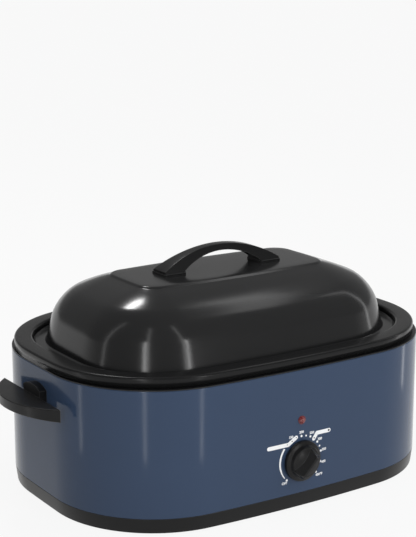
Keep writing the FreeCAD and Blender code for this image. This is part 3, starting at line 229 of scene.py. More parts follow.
class EffectLibrary:
    """Builds each shared effect once and hands out its group."""

    def __init__(self) -> None:
        """Start with no group built."""
        self.groups: dict[Effect, bpy.types.NodeTree] = {}
        self.makers: dict[Effect, Callable[[], bpy.types.NodeTree]] = {
            Effect.RIPPLE: self._ripple,
            Effect.HAZE: self._haze,
            Effect.DRIFT: self._drift,
            Effect.EDGE: self._edge,
            Effect.DRAW: self._draw,
            Effect.SPANGLE: self._spangle,
        }

    def place(self, sheet: MaterialSheet, effect: Effect, **sockets: object) -> bpy.types.NodeSocket:
        """Place an effect in a material, on its object coordinates.

        Args:
            sheet: The material's nodes.
            effect: The effect to place.
            **sockets: Its other input values or sockets.

        Returns:
            The effect's output socket.
        """
        if effect not in self.groups:
            self.groups[effect] = self.makers[effect]()
        settings = {"node_tree": self.groups[effect]}
        return sheet.add("ShaderNodeGroup", settings, Place=sheet.place, **sockets).outputs[0]

    def _open(self, effect: Effect, inputs: Sequence[str], output: str) -> tuple:
        """Start a group with its sockets.

        Args:
            effect: The effect that the group holds.
            inputs: Name of each input.
            output: Name of the output.

        Returns:
            The sheet, the input node and the output node.
        """
        tree = bpy.data.node_groups.new(effect.value, "ShaderNodeTree")
        for name, way in [(name, "INPUT") for name in inputs] + [(output, "OUTPUT")]:
            kind = SOCKET_KINDS.get(name, "NodeSocketFloat")
            tree.interface.new_socket(name, in_out=way, socket_type=kind)
        sheet = NodeSheet(tree)
        return sheet, sheet.add("NodeGroupInput"), sheet.add("NodeGroupOutput")

    def _noise(self, sheet: NodeSheet, source: bpy.types.Node, detail: float) -> bpy.types.NodeSocket:
        """Noise whose cell is the group's Size input, in metres.

        Args:
            sheet: The group's nodes.
            source: The group's input node.
            detail: Octaves of the noise.

        Returns:
            The noise value's socket.
        """
        scale = sheet.math("DIVIDE", 1.0, source.outputs["Size"])
        noise = sheet.add(
            "ShaderNodeTexNoise", Vector=source.outputs["Place"], Scale=scale, Detail=detail, Roughness=0.55
        )
        return noise.outputs[0]

    def _shade(
        self, sheet: NodeSheet, source: bpy.types.Node, sink: bpy.types.Node, gain: bpy.types.NodeSocket
    ) -> bpy.types.NodeTree:
        """End a group that puts out its Colour input times a gain.

        Args:
            sheet: The group's nodes.
            source: The group's input node.
            sink: The group's output node.
            gain: The gain's socket.

        Returns:
            The group.
        """
        grey = sheet.add("ShaderNodeCombineColor", Red=gain, Green=gain, Blue=gain)
        colour = sheet.tint(source.outputs["Colour"], grey.outputs[0], 1.0, "MULTIPLY")
        sheet.join(colour, sink.inputs["Colour"])
        return sheet.tree

    def _ripple(self) -> bpy.types.NodeTree:
        """Orange peel or moulded grain: a height in metres.

        Returns:
            The group.
        """
        sheet, source, sink = self._open(Effect.RIPPLE, ("Place", "Size", "Depth"), "Height")
        noise = self._noise(sheet, source, 1.5)
        sheet.join(sheet.math("MULTIPLY", noise, source.outputs["Depth"]), sink.inputs["Height"])
        return sheet.tree

    def _haze(self) -> bpy.types.NodeTree:
        """Roughness that wanders about its middle value, as on a wiped surface.

        Returns:
            The group.
        """
        sheet, source, sink = self._open(Effect.HAZE, ("Place", "Size", "Middle", "Spread"), "Roughness")
        noise = self._noise(sheet, source, 4.0)
        swing = sheet.math("MULTIPLY", sheet.math("SUBTRACT", noise, 0.5), source.outputs["Spread"])
        sheet.join(sheet.math("ADD", source.outputs["Middle"], swing), sink.inputs["Roughness"])
        return sheet.tree

    def _drift(self) -> bpy.types.NodeTree:
        """Colour that grows a little lighter and darker over the surface.

        Returns:
            The group.
        """
        sheet, source, sink = self._open(Effect.DRIFT, ("Place", "Colour", "Size", "Amount"), "Colour")
        noise = self._noise(sheet, source, 3.0)
        swing = sheet.math("MULTIPLY", sheet.math("SUBTRACT", noise, 0.5), source.outputs["Amount"])
        return self._shade(sheet, source, sink, sheet.math("ADD", 1.0, swing))

    def _edge(self) -> bpy.types.NodeTree:
        """Painted highlight: colour that turns to a lighter tone along sharp edges, in broken patches.

        Returns:
            The group.
        """
        inputs = ("Place", "Colour", "Highlight", "Size", "Width", "Amount")
        sheet, source, sink = self._open(Effect.EDGE, inputs, "Colour")
        # The mask below picks out the sharp edges, where the painted highlight goes.
        geometry = sheet.add("ShaderNodeNewGeometry")
        soft = sheet.add("ShaderNodeBevel", {"samples": 8}, Radius=source.outputs["Width"])
        alike = sheet.add("ShaderNodeVectorMath", {"operation": "DOT_PRODUCT"})
        sheet.join(soft.outputs["Normal"], alike.inputs[0])
        sheet.join(geometry.outputs["Normal"], alike.inputs[1])
        ridge = sheet.add("ShaderNodeMapRange", Value=alike.outputs["Value"], From_Min=0.995, From_Max=0.93)
        highlight_breaks = sheet.math("ADD", 0.5, self._noise(sheet, source, 3.0))
        patchy = sheet.math("MULTIPLY", ridge.outputs[0], highlight_breaks)
        share = sheet.math("MULTIPLY", patchy, source.outputs["Amount"])
        colour = sheet.tint(source.outputs["Colour"], source.outputs["Highlight"], share)
        sheet.join(colour, sink.inputs["Colour"])
        return sheet.tree

    def _draw(self) -> bpy.types.NodeTree:
        """Fine lines that a drawn wire or rolled sheet carries along X: a height in metres.

        Returns:
            The group.
        """
        sheet, source, sink = self._open(Effect.DRAW, ("Place", "Size", "Depth"), "Height")
        stretch = sheet.add("ShaderNodeMapping", Vector=source.outputs["Place"], Scale=(0.04, 1.0, 1.0))
        scale = sheet.math("DIVIDE", 1.0, source.outputs["Size"])
        noise = sheet.add("ShaderNodeTexNoise", Vector=stretch.outputs[0], Scale=scale, Detail=2.0)
        sheet.join(sheet.math("MULTIPLY", noise.outputs[0], source.outputs["Depth"]), sink.inputs["Height"])
        return sheet.tree

    def _spangle(self) -> bpy.types.NodeTree:
        """Crystal patches of a zinc coat, each with its own shade.

        Returns:
            The group.
        """
        sheet, source, sink = self._open(Effect.SPANGLE, ("Place", "Colour", "Size"), "Colour")
        scale = sheet.math("DIVIDE", 1.0, source.outputs["Size"])
        cells = sheet.add("ShaderNodeTexVoronoi", Vector=source.outputs["Place"], Scale=scale)
        shade = sheet.add("ShaderNodeSeparateColor", Color=cells.outputs["Color"])
        gain = sheet.math("ADD", 0.85, sheet.math("MULTIPLY", shade.outputs[0], 0.3))
        return self._shade(sheet, source, sink, gain)


# ---- finishes ------------------------------------------------------------------------------------
class Finish:
    """What a material is made of. Each kind of finish fills the sheet in its own way."""

    def material(self, name: str, effects: EffectLibrary) -> bpy.types.Material:
        """Build the material.

        Args:
            name: The material's name.
            effects: The shared effects.

        Returns:
            The material.
        """
        sheet = MaterialSheet(name)
        self.fill(sheet, effects)
        return sheet.material

    def fill(self, sheet: MaterialSheet, effects: EffectLibrary) -> None:
        """Fill the sheet of a new material.

        Args:
            sheet: The material's nodes.
            effects: The shared effects.
        """
        raise NotImplementedError


@dataclass(frozen=True)
class Coating(Finish):
    """Baked paint or enamel on pressed steel."""

    colour: Colour
    roughness: float
    peel: float = 2.4 * MM
    peel_depth: float = 0.004 * MM
    drift: float = 0.06
    drift_patch: float = 60 * MM
    spread: float = 0.05
    haze_patch: float = 35 * MM
    level: float = 0.3
    # Tone, width and share of the painted highlight along edges, or none.
    edge_highlight: Optional[Colour] = None
    highlight_width: float = 0.8 * MM
    highlight_amount: float = 0.6

    def fill(self, sheet: MaterialSheet, effects: EffectLibrary) -> None:
        """Lay the colour, its painted highlight along edges, the wiped gloss and the orange peel.

        Args:
            sheet: The material's nodes.
            effects: The shared effects.
        """
        tone = effects.place(
            sheet, Effect.DRIFT, Colour=self.colour, Size=self.drift_patch, Amount=self.drift
        )
        # Painted highlight: the sharp edges take a lighter tone.
        if self.edge_highlight is not None:
            tone = effects.place(
                sheet,
                Effect.EDGE,
                Colour=tone,
                Highlight=self.edge_highlight,
                Size=HIGHLIGHT_PATCH,
                Width=self.highlight_width,
                Amount=self.highlight_amount,
            )
        rough = effects.place(
            sheet, Effect.HAZE, Size=self.haze_patch, Middle=self.roughness, Spread=self.spread
        )
        height = effects.place(sheet, Effect.RIPPLE, Size=self.peel, Depth=self.peel_depth)
        sheet.dress(Base_Color=tone, Roughness=rough, Specular_IOR_Level=self.level)
        sheet.raise_surface(height)


@dataclass(frozen=True)
class Moulding(Finish):
    """Moulded plastic or rubber with a fine grain and a painted highlight along its edges."""

    colour: Colour
    edge_highlight: Colour
    roughness: float
    grain: float = 0.7 * MM
    grain_depth: float = 0.012 * MM
    # Share and width of the painted highlight along edges.
    edge: float = 0.6
    edge_width: float = 0.9 * MM
    spread: float = 0.1
    haze_patch: float = 18 * MM
    level: float = 0.2

    def fill(self, sheet: MaterialSheet, effects: EffectLibrary) -> None:
        """Lay the colour with its painted highlight along edges, the handled gloss and the grain.

        Args:
            sheet: The material's nodes.
            effects: The shared effects.
        """
        # Painted highlight: the sharp edges take a lighter tone over the moulding's colour.
        tone = effects.place(
            sheet,
            Effect.EDGE,
            Colour=self.colour,
            Highlight=self.edge_highlight,
            Size=HIGHLIGHT_PATCH,
            Width=self.edge_width,
            Amount=self.edge,
        )
        rough = effects.place(
            sheet, Effect.HAZE, Size=self.haze_patch, Middle=self.roughness, Spread=self.spread
        )
        height = effects.place(sheet, Effect.RIPPLE, Size=self.grain, Depth=self.grain_depth)
        sheet.dress(Base_Color=tone, Roughness=rough, Specular_IOR_Level=self.level)
        sheet.raise_surface(height)


@dataclass(frozen=True)
class BareMetal(Finish):
    """Plated or plain metal with drawn lines, and crystal patches where it is galvanised."""

    colour: Colour
    roughness: float
    line: float = 0.5 * MM
    line_depth: float = 0.004 * MM
    drift: float = 0.12
    drift_patch: float = 12 * MM
    spread: float = 0.12
    haze_patch: float = 10 * MM
    spangle: float = 0.0

    def fill(self, sheet: MaterialSheet, effects: EffectLibrary) -> None:
        """Lay the metal's colour or its crystal patches, the gloss and the drawn lines.

        Args:
            sheet: The material's nodes.
            effects: The shared effects.
        """
        if self.spangle > 0:
            tone = effects.place(sheet, Effect.SPANGLE, Colour=self.colour, Size=self.spangle)
        else:
            tone = effects.place(
                sheet, Effect.DRIFT, Colour=self.colour, Size=self.drift_patch, Amount=self.drift
            )
        rough = effects.place(
            sheet, Effect.HAZE, Size=self.haze_patch, Middle=self.roughness, Spread=self.spread
        )
        height = effects.place(sheet, Effect.DRAW, Size=self.line, Depth=self.line_depth)
        sheet.dress(Metallic=1.0, Base_Color=tone, Roughness=rough)
        sheet.raise_surface(height)


@dataclass(frozen=True)
class Mineral(Finish):
    """Ceramic, mica or glass fibre: matte, mottled and uneven."""

    colour: Colour
    dark: Colour
    roughness: float
    mottle: float = 4 * MM
    bump: float = 0.05 * MM
    spread: float = 0.2

    def fill(self, sheet: MaterialSheet, effects: EffectLibrary) -> None:
        """Lay the mottled colour, the uneven gloss and the rough face.

        Args:
            sheet: The material's nodes.
            effects: The shared effects.
        """
        noise = sheet.add("ShaderNodeTexNoise", Vector=sheet.place, Scale=1 / self.mottle, Detail=6.0)
        tone = sheet.tint(self.dark, self.colour, noise.outputs[0])
        rough = effects.place(
            sheet, Effect.HAZE, Size=self.mottle, Middle=self.roughness, Spread=self.spread
        )
        height = effects.place(sheet, Effect.RIPPLE, Size=self.mottle / 2, Depth=self.bump)
        sheet.dress(Base_Color=tone, Roughness=rough)
        sheet.raise_surface(height)


@dataclass(frozen=True)
class Lens(Finish):
    """Clear coloured plastic or glass."""

    colour: Colour
    roughness: float
    transmission: float
    coat: float = 0.6
    spread: float = 0.06
    haze_patch: float = 3 * MM

    def fill(self, sheet: MaterialSheet, effects: EffectLibrary) -> None:
        """Set the clear colour and lay the handled gloss.

        Args:
            sheet: The material's nodes.
            effects: The shared effects.
        """
        rough = effects.place(
            sheet, Effect.HAZE, Size=self.haze_patch, Middle=self.roughness, Spread=self.spread
        )
        sheet.dress(
            Base_Color=self.colour,
            Transmission_Weight=self.transmission,
            Coat_Weight=self.coat,
            Roughness=rough,
        )


@dataclass(frozen=True)
class Ink(Finish):
    """Screen-printed ink, a little uneven in its thickness."""

    colour: Colour
    thin: Colour
    roughness: float = 0.42
    drift: float = 0.1
    drift_patch: float = 2 * MM
    thin_share: float = 0.12
    thin_patch: float = 0.6 * MM
    spread: float = 0.1
    haze_patch: float = 4 * MM

    def fill(self, sheet: MaterialSheet, effects: EffectLibrary) -> None:
        """Lay the ink, thinner here and there, and its gloss.

        Args:
            sheet: The material's nodes.
            effects: The shared effects.
        """
        tone = effects.place(
            sheet, Effect.DRIFT, Colour=self.colour, Size=self.drift_patch, Amount=self.drift
        )
        noise = sheet.add("ShaderNodeTexNoise", Vector=sheet.place, Scale=1 / self.thin_patch, Detail=2.0)
        share = sheet.math("MULTIPLY", noise.outputs[0], self.thin_share)
        rough = effects.place(
            sheet, Effect.HAZE, Size=self.haze_patch, Middle=self.roughness, Spread=self.spread
        )
        sheet.dress(Base_Color=sheet.tint(tone, self.thin, share), Roughness=rough)


# The second colour of each Moulding, and the edge colour given to black_rim_steel and pan_enamel, are the
# tone of the painted highlight along edges.
FINISHES = {
    "blue_paint": Coating((0.038, 0.062, 0.114, 1), 0.14, level=0.2),
    "black_plastic": Moulding((0.006, 0.006, 0.0062, 1), (0.09, 0.09, 0.09, 1), 0.3, level=0.22),
    "black_rim_steel": Coating((0.008, 0.008, 0.0084, 1), 0.28, level=0.15, edge_highlight=(0.1, 0.1, 0.1, 1)),
    "well_enamel": Coating((0.024, 0.024, 0.0245, 1), 0.34, level=0.5, peel=1.2 * MM),
    "pan_enamel": Coating((0.010, 0.010, 0.0102, 1), 0.22, level=0.16, edge_highlight=(0.05, 0.05, 0.05, 1)),
    "lid_enamel": Coating((0.014, 0.014, 0.0142, 1), 0.17, level=0.32, peel_depth=0.002 * MM),
    "chrome_wire": BareMetal((0.72, 0.72, 0.74, 1), 0.12),
    "zinc_steel": BareMetal((0.56, 0.56, 0.57, 1), 0.32),
    "galvanised_sheet": BareMetal((0.48, 0.50, 0.52, 1), 0.42, spangle=9 * MM),
    "foot_rubber": Moulding((0.02, 0.02, 0.02, 1), (0.06, 0.06, 0.06, 1), 0.8, grain_depth=0.02 * MM),
    "red_lens": Lens((0.2, 0.006, 0.008, 1), 0.1, 0.2),
    "neon_glass": Lens((0.9, 0.55, 0.35, 1), 0.08, 0.9),
    "ceramic_white": Mineral((0.72, 0.69, 0.62, 1), (0.6, 0.57, 0.5, 1), 0.6),
    "glass_fibre": Mineral((0.74, 0.72, 0.64, 1), (0.5, 0.47, 0.38, 1), 0.95, 6 * MM, 0.6 * MM),
    "mica_band": Mineral((0.42, 0.37, 0.28, 1), (0.22, 0.19, 0.15, 1), 0.5, 5 * MM),
    "brass": BareMetal((0.66, 0.48, 0.22, 1), 0.3),
    "cutoff_metal": BareMetal((0.66, 0.67, 0.68, 1), 0.35),
    "lead_sleeve": Moulding((0.34, 0.03, 0.025, 1), (0.45, 0.08, 0.06, 1), 0.55),
}
PRINT = Ink((0.95, 0.95, 0.95, 1), (0.86, 0.87, 0.89, 1))


# ---- plan and sections ---------------------------------------------------------------------------
class PlanArc(NamedTuple):
    """One arc of an oval plan."""

    x: float
    y: float
    radius: float
    start: float
    finish: float
    steps: int


class Corner(NamedTuple):
    """A corner of a section: how far in from the plan's edge, how high, and its rounding."""

    inset: float
    height: float
    radius: float = 0.0


@dataclass(frozen=True)
class OvalPlan:
    """Plan with bowed sides and ends joined by round corners."""

    centre_y: float
    half_length: float
    half_width: float
    side_radius: float
    end_radius: float
    corner_radius: float

    @classmethod
    def round_node(cls, node: str, side_radius: float, end_radius: float, corner_radius: float) -> "OvalPlan":
        """Plan that a CAD node fills.

        Args:
            node: The node whose box gives the length and width.
            side_radius: Radius of the bowed long sides.
            end_radius: Radius of the bowed ends.
            corner_radius: Radius of the corners.

        Returns:
            The plan.
        """
        low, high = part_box(node)
        half_length = (high.x - low.x) / 2
        half_width = (high.y - low.y) / 2
        centre_y = (high.y + low.y) / 2
        return cls(centre_y, half_length, half_width, side_radius, end_radius, corner_radius)

    def arcs(self) -> list[PlanArc]:
        """Eight tangent arcs, counter-clockwise from the +X end.

        Returns:
            The arcs, in the order that a sweep follows.
        """
        side_y = self.half_width - self.side_radius
        end_x = self.half_length - self.end_radius
        to_side = self.side_radius - self.corner_radius
        to_end = self.end_radius - self.corner_radius
        apart = math.hypot(end_x, side_y)
        along = (apart**2 + to_side**2 - to_end**2) / (2 * apart)
        across = math.sqrt(to_side**2 - along**2)
        unit = Vector((end_x / apart, -side_y / apart))
        corner_x = along * unit.x + across * unit.y
        corner_y = side_y + along * unit.y - across * unit.x
        first = math.atan2(corner_y, corner_x - end_x)
        second = math.atan2(corner_y - side_y, corner_x)
        quarters = [
            (end_x, 0.0, self.end_radius, -first, first, END_STEPS),
            (corner_x, corner_y, self.corner_radius, first, second, CORNER_STEPS),
            (0.0, side_y, self.side_radius, second, math.pi - second, SIDE_STEPS),
            (-corner_x, corner_y, self.corner_radius, math.pi - second, math.pi - first, CORNER_STEPS),
        ]
        arcs = []
        for turn in (0.0, math.pi):
            flip = math.cos(turn)
            for x, y, radius, start, finish, steps in quarters:
                arcs.append(
                    PlanArc(x * flip, self.centre_y + y * flip, radius, start + turn, finish + turn, steps)
                )
        return arcs

    def front_y(self, x: float) -> float:
        """Depth of the front face at this x."""
        rise = self.side_radius - math.sqrt(self.side_radius**2 - x**2)
        return self.centre_y - self.half_width + rise


def turn_angle(before: Corner, here: Corner, after: Corner) -> float:
    """Angle by which a section turns at a corner.

    Args:
        before: The corner before it.
        here: The corner.
        after: The corner after it.

    Returns:
        The angle in radians.
    """
    arriving = Vector((here.inset - before.inset, here.height - before.height))
    leaving = Vector((after.inset - here.inset, after.height - here.height))
    return arriving.angle(leaving)


def sweep(plan: OvalPlan, corners: Sequence[Corner], closed: bool) -> bmesh.types.BMesh:
    """Carry a rounded section round a plan.

    Args:
        plan: The plan to follow.
        corners: The section's corners.
        closed: Whether the section's last corner joins its first.

    Returns:
        The mesh. An open section that ends away from the edge leaves its middle open.
    """
    mesh = bmesh.new()
    arcs = plan.arcs()
    first = arcs[0]
    outward = Vector((math.cos(first.start), math.sin(first.start), 0))
    centre = Vector((first.x, first.y, 0))
    verts = []
    for corner in corners:
        verts.append(mesh.verts.new(centre + outward * (first.radius - corner.inset) + UP * corner.height))
    ring = verts + verts[:1] if closed else verts
    for here, after in zip(ring, ring[1:]):
        mesh.edges.new((here, after))
    count = len(corners)
    for index, corner in enumerate(corners):
        if corner.radius <= 0:
            continue
        angle = turn_angle(corners[index - 1], corner, corners[(index + 1) % count])
        bmesh.ops.bevel(
            mesh,
            geom=[verts[index]],
            offset=corner.radius * math.tan(angle / 2),
            offset_type="OFFSET",
            segments=max(FEWEST_FACETS, math.ceil(math.degrees(angle) / FACET_TURN)),
            profile=0.5,
            affect="VERTICES",
            material=-1,
        )
    front = list(mesh.verts) + list(mesh.edges)
    for arc in arcs:
        result = bmesh.ops.spin(
            mesh,
            geom=front,
            cent=(arc.x, arc.y, 0),
            axis=UP,
            angle=arc.finish - arc.start,
            steps=arc.steps,
            use_duplicate=False,
        )
        front = result["geom_last"]
    bmesh.ops.remove_doubles(mesh, verts=mesh.verts, dist=0.01 * MM)
    return mesh


def close_middle(mesh: bmesh.types.BMesh, height: float) -> None:
    """Fill the flat opening that a swept sheet leaves round the centre.

    Args:
        mesh: The swept sheet.
        height: Height of the opening's edge.
    """
    rim = []
    for edge in mesh.edges:
        if edge.is_boundary and abs(edge.verts[0].co.z - height) < 0.1 * MM:
            rim.append(edge)
    filled = bmesh.ops.holes_fill(mesh, edges=rim, sides=0)["faces"]
    bmesh.ops.inset_region(mesh, faces=filled, thickness=MIDDLE_MARGIN, use_even_offset=True)


def turn_up(mesh: bmesh.types.BMesh, height: float) -> None:
    """Turn a sheet so that its flat face at this height looks up.

    Args:
        mesh: The sheet.
        height: Height of the flat face.
    """
    flat = min(mesh.faces, key=lambda face: abs(face.calc_center_median().z - height) - face.calc_area())
    if flat.normal.z < 0:
        bmesh.ops.reverse_faces(mesh, faces=mesh.faces)


# ---- pieces on the frame -------------------------------------------------------------------------
class Bench:
    """Places pieces on the frame and remembers the finishes."""

    def __init__(self, frame: dict) -> None:
        """Read the record's slots and bodies.
        """
        self.nodes: dict[str, bpy.types.Object] = frame["nodes"]
        record = frame["record"]
        self.slot_of = {part["node"]: part["material_slot"] for part in record["subparts"]}
        self.body_of = {}
        for body, members in record["behaviour"]["bodies"].items():
            for member in members:
                self.body_of[member] = body
        self.effects = EffectLibrary()
        self.materials: dict[str, bpy.types.Material] = {}
        self.done: set[str] = set()

    def finish(self, slot: str) -> bpy.types.Material:
        """Material of a slot, built when it is first asked for.

        Args:
            slot: The slot's name.

        Returns:
            The material.
        """
        if slot not in self.materials:
            self.materials[slot] = FINISHES[slot].material(slot, self.effects)
        return self.materials[slot]

    def ink(self) -> bpy.types.Material:
        """The dial's white ink.

        Returns:
            The material, built when it is first asked for.
        """
        if "dial_ink" not in self.materials:
            self.materials["dial_ink"] = PRINT.material("dial_ink", self.effects)
        return self.materials["dial_ink"]

    def place(
        self,
        name: str,
        mesh: bmesh.types.BMesh,
        like: str,
        replaces: bool = True,
        crease: float = 35.0,
        material: Optional[bpy.types.Material] = None,
    ) -> bpy.types.Object:
        """Make a piece out of a mesh and put it on the frame.

        Args:
            name: The piece's name.
            mesh: Its mesh, which is freed.
            like: The CAD node whose body and slot it shares.
            replaces: Whether it stands for that node.
            crease: Angle in degrees past which an edge stays sharp.
            material: Its material, where it isn't the slot's own.

        Returns:
            The piece.
        """
        data = bpy.data.meshes.new(name)
        mesh.to_mesh(data)
        mesh.free()
        if "custom_normal" in data.attributes:
            data.attributes.remove(data.attributes["custom_normal"])
        data.shade_smooth()
        data.set_sharp_from_angle(angle=math.radians(crease))
        piece = link_object(name, data)
        data.materials.clear()
        data.materials.append(material or self.finish(self.slot_of[like]))
        if replaces:
            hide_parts(like)
            self.done.add(like)
        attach(piece, self.body_of[like])
        log.info("%s: %d faces on %s", name, len(data.polygons), self.body_of[like])
        return piece

    def node_mesh(self, node: str) -> bmesh.types.BMesh:
        """Merged copy of a CAD node's mesh, with its flat faces made whole.

        Args:
            node: The node to copy.

        Returns:
            The copy.
        """
        mesh = bmesh.new()
        mesh.from_mesh(self.nodes[node].data)
        bmesh.ops.remove_doubles(mesh, verts=mesh.verts, dist=0.002 * MM)
        bmesh.ops.dissolve_limit(
            mesh,
            angle_limit=math.radians(0.3),
            verts=mesh.verts,
            edges=mesh.edges,
            use_dissolve_boundaries=False,
        )
        return mesh

    def refine(self, node: str, name: str, rounding: float = 0.0, crease: float = 35.0) -> bpy.types.Object:
        """Stand a smooth piece with rounded edges in for a CAD node.

        Args:
            node: The node to stand for.
            name: The piece's name.
            rounding: Width of the rounding on its sharp edges, or 0 for none.
            crease: Angle in degrees past which an edge is sharp.

        Returns:
            The piece.
        """
        piece = self.place(name, self.node_mesh(node), node, crease=crease)
        if rounding > 0:
            self.round_edges(piece, rounding, crease)
        return piece

    def round_edges(self, piece: bpy.types.Object, width: float, crease: float = 35.0) -> None:
        """Round a piece's sharp edges.

        Args:
            piece: The piece.
            width: Width of the rounding.
            crease: Angle in degrees past which an edge is rounded.
        """
        bevel = piece.modifiers.new("rounding", "BEVEL")
        bevel.width = width
        bevel.segments = 3
        bevel.limit_method = "ANGLE"
        bevel.angle_limit = math.radians(crease)
        bevel.harden_normals = True
        bevel.use_clamp_overlap = True

    def thicken(self, piece: bpy.types.Object, wall: float) -> None:
        """Give a sheet its wall, behind its faces.

        Args:
            piece: The sheet, with its faces turned outwards.
            wall: The wall's thickness.
        """
        solid = piece.modifiers.new("wall", "SOLIDIFY")
        solid.thickness = wall
        solid.offset = -1.0
        solid.use_even_offset = True

    def ring(self, name: str, plan: OvalPlan, section: Sequence[Corner], like: str) -> None:
        """Carry a closed section round a plan and stand it in for a CAD node.

        Args:
            name: The piece's name.
            plan: The plan to follow.
            section: The section's corners.
            like: The node to stand for.
        """
        mesh = sweep(plan, section, closed=True)
        bmesh.ops.recalc_face_normals(mesh, faces=mesh.faces)
        self.place(name, mesh, like)

    def press(self, name: str, plan: OvalPlan, section: Sequence[Corner], like: str, wall: float) -> None:
        """Press a sheet whose section runs in to a flat middle, and stand it in for a CAD node.

        Args:
            name: The piece's name.
            plan: The plan to follow.
            section: The section's corners, from the edge to the flat middle.
            like: The node to stand for.
            wall: The sheet's thickness.
        """
        flat = section[-1].height
        mesh = sweep(plan, section, closed=False)
        close_middle(mesh, flat)
        bmesh.ops.recalc_face_normals(mesh, faces=mesh.faces)
        turn_up(mesh, flat)
        self.thicken(self.place(name, mesh, like), wall)

    def dress_the_rest(self) -> None:
        """Give every CAD node that is still shown its finish."""
        for name, node in self.nodes.items():
            if name in self.done:
                continue
            node.data.materials.clear()
            node.data.materials.append(self.finish(self.slot_of[name]))


# ---- the roaster's assemblies ----------------------------------------------------------------------
@dataclass
class HeatedBase:
    """Painted wrap on a moulded skirt, with the rim collar and the well inside it."""

    bench: Bench
    side_radius: float = 2000 * MM
    end_radius: float = 6000 * MM
    corner_radius: float = 150 * MM
    wrap_wall: float = 0.6 * MM
    wrap_turn: float = 0.5 * MM
    wrap_turn_round: float = 0.4 * MM
    wrap_shoulder: float = 1.3 * MM
    wrap_room: float = 0.7 * MM
    skirt_draft: float = 2.3 * MM
    skirt_wall: float = 3 * MM
    skirt_flange: float = 20 * MM
    skirt_lip: float = 3 * MM
    skirt_round: float = 0.8 * MM
    upstand: float = 12 * MM
    collar_step: float = 7.4 * MM
    collar_rise: float = 12.8 * MM
    collar_seat: float = 1.2 * MM
    collar_flange: float = 21.8 * MM
    collar_drop: float = 12 * MM
    collar_ledge: float = 8.2 * MM
    collar_wall: float = 1.2 * MM
    collar_round: float = 2.4 * MM
    fold_round: float = 0.8 * MM
    bend_round: float = 0.5 * MM
    well_corner: float = 28 * MM
    well_inset: float = 32.8 * MM
    well_wall: float = 0.7 * MM
    well_gap: float = 0.9 * MM
    well_round: float = 2.4 * MM
    well_flat: float = 12 * MM

    def build(self) -> OvalPlan:
        """Build the base's shells.

        Returns:
            The body's plan.
        """
        plan = OvalPlan.round_node("body_wrap", self.side_radius, self.end_radius, self.corner_radius)
        self._wrap(plan)
        self._skirt(plan)
        self._collar(plan)
        self._well(plan)
        self.bench.refine("rubber_feet", "moulded_feet", 0.4 * MM)
        self.bench.refine("cord_gland", "inlet_bushing", 0.4 * MM)
        return plan

    def _wrap(self, plan: OvalPlan) -> None:
        """Painted sheet, turned a hair inwards along both edges.

        Args:
            plan: The body's plan.
        """
        low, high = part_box("body_wrap")
        section = [
            Corner(self.wrap_turn, low.z),
            Corner(0, low.z + self.wrap_turn, self.wrap_turn_round),
            Corner(0, high.z - self.wrap_shoulder, self.wrap_shoulder),
            Corner(self.wrap_shoulder, high.z),
        ]
        mesh = sweep(plan, section, closed=False)
        bmesh.ops.recalc_face_normals(mesh, faces=mesh.faces)
        self._face_away(mesh, plan)
        piece = self.bench.place("painted_wrap", mesh, "body_wrap")
        self.bench.thicken(piece, self.wrap_wall)

    def _face_away(self, mesh: bmesh.types.BMesh, plan: OvalPlan) -> None:
        """Turn an upright sheet's faces away from the plan's centre.

        Args:
            mesh: The sheet.
            plan: The plan it follows.
        """
        centre = Vector((0, plan.centre_y, 0))
        face = max(mesh.faces, key=lambda item: item.calc_center_median().x)
        if face.normal.dot(face.calc_center_median() - centre) < 0:
            bmesh.ops.reverse_faces(mesh, faces=mesh.faces)

    def _skirt(self, plan: OvalPlan) -> None:
        """Moulded skirt with its upstand and screw flange.

        Args:
            plan: The body's plan.
        """
        low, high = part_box("base_skirt")
        top = high.z - self.upstand
        flange = low.z + self.skirt_lip
        inner = self.wrap_room + self.skirt_wall
        foot = self.skirt_draft + self.skirt_wall
        section = [
            Corner(self.skirt_draft, low.z, self.skirt_round),
            Corner(0, top, 0.35 * MM),
            Corner(self.wrap_room, top),
            Corner(self.wrap_room, high.z, self.bend_round),
            Corner(inner, high.z, self.bend_round),
            Corner(inner, flange + self.skirt_lip, 1 * MM),
            Corner(inner + self.skirt_flange, flange + self.skirt_lip, self.bend_round),
            Corner(inner + self.skirt_flange, flange),
            Corner(foot, flange),
            Corner(foot, low.z, self.skirt_round),
        ]
        self.bench.ring("moulded_skirt", plan, section, "base_skirt")

    def _collar(self, plan: OvalPlan) -> None:
        """Rim collar: a step above the wrap, a flat flange and the inner ledge.

        Args:
            plan: The body's plan.
        """
        low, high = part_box("top_collar")
        wall = self.collar_wall
        step = high.z - self.collar_rise
        ledge = high.z - self.collar_drop
        seat = step - self.collar_seat
        ledge_end = self.collar_flange + self.collar_ledge
        section = [
            Corner(0, seat),
            Corner(0, step, self.bend_round),
            Corner(self.collar_step, step, self.fold_round),
            Corner(self.collar_step, high.z, self.collar_round),
            Corner(self.collar_flange, high.z, self.collar_round),
            Corner(self.collar_flange, ledge, self.fold_round),
            Corner(ledge_end, ledge),
            Corner(ledge_end, ledge - wall),
            Corner(self.collar_flange - wall, ledge - wall, self.fold_round),
            Corner(self.collar_flange - wall, high.z - wall, self.bend_round),
            Corner(self.collar_step + wall, high.z - wall, self.bend_round),
            Corner(self.collar_step + wall, step - wall, self.bend_round),
            Corner(self.wrap_room + wall, step - wall, self.bend_round),
            Corner(self.wrap_room + wall, low.z),
            Corner(self.wrap_room, low.z),
            Corner(self.wrap_room, seat),
        ]
        self.bench.ring("rim_collar", plan, section, "top_collar")

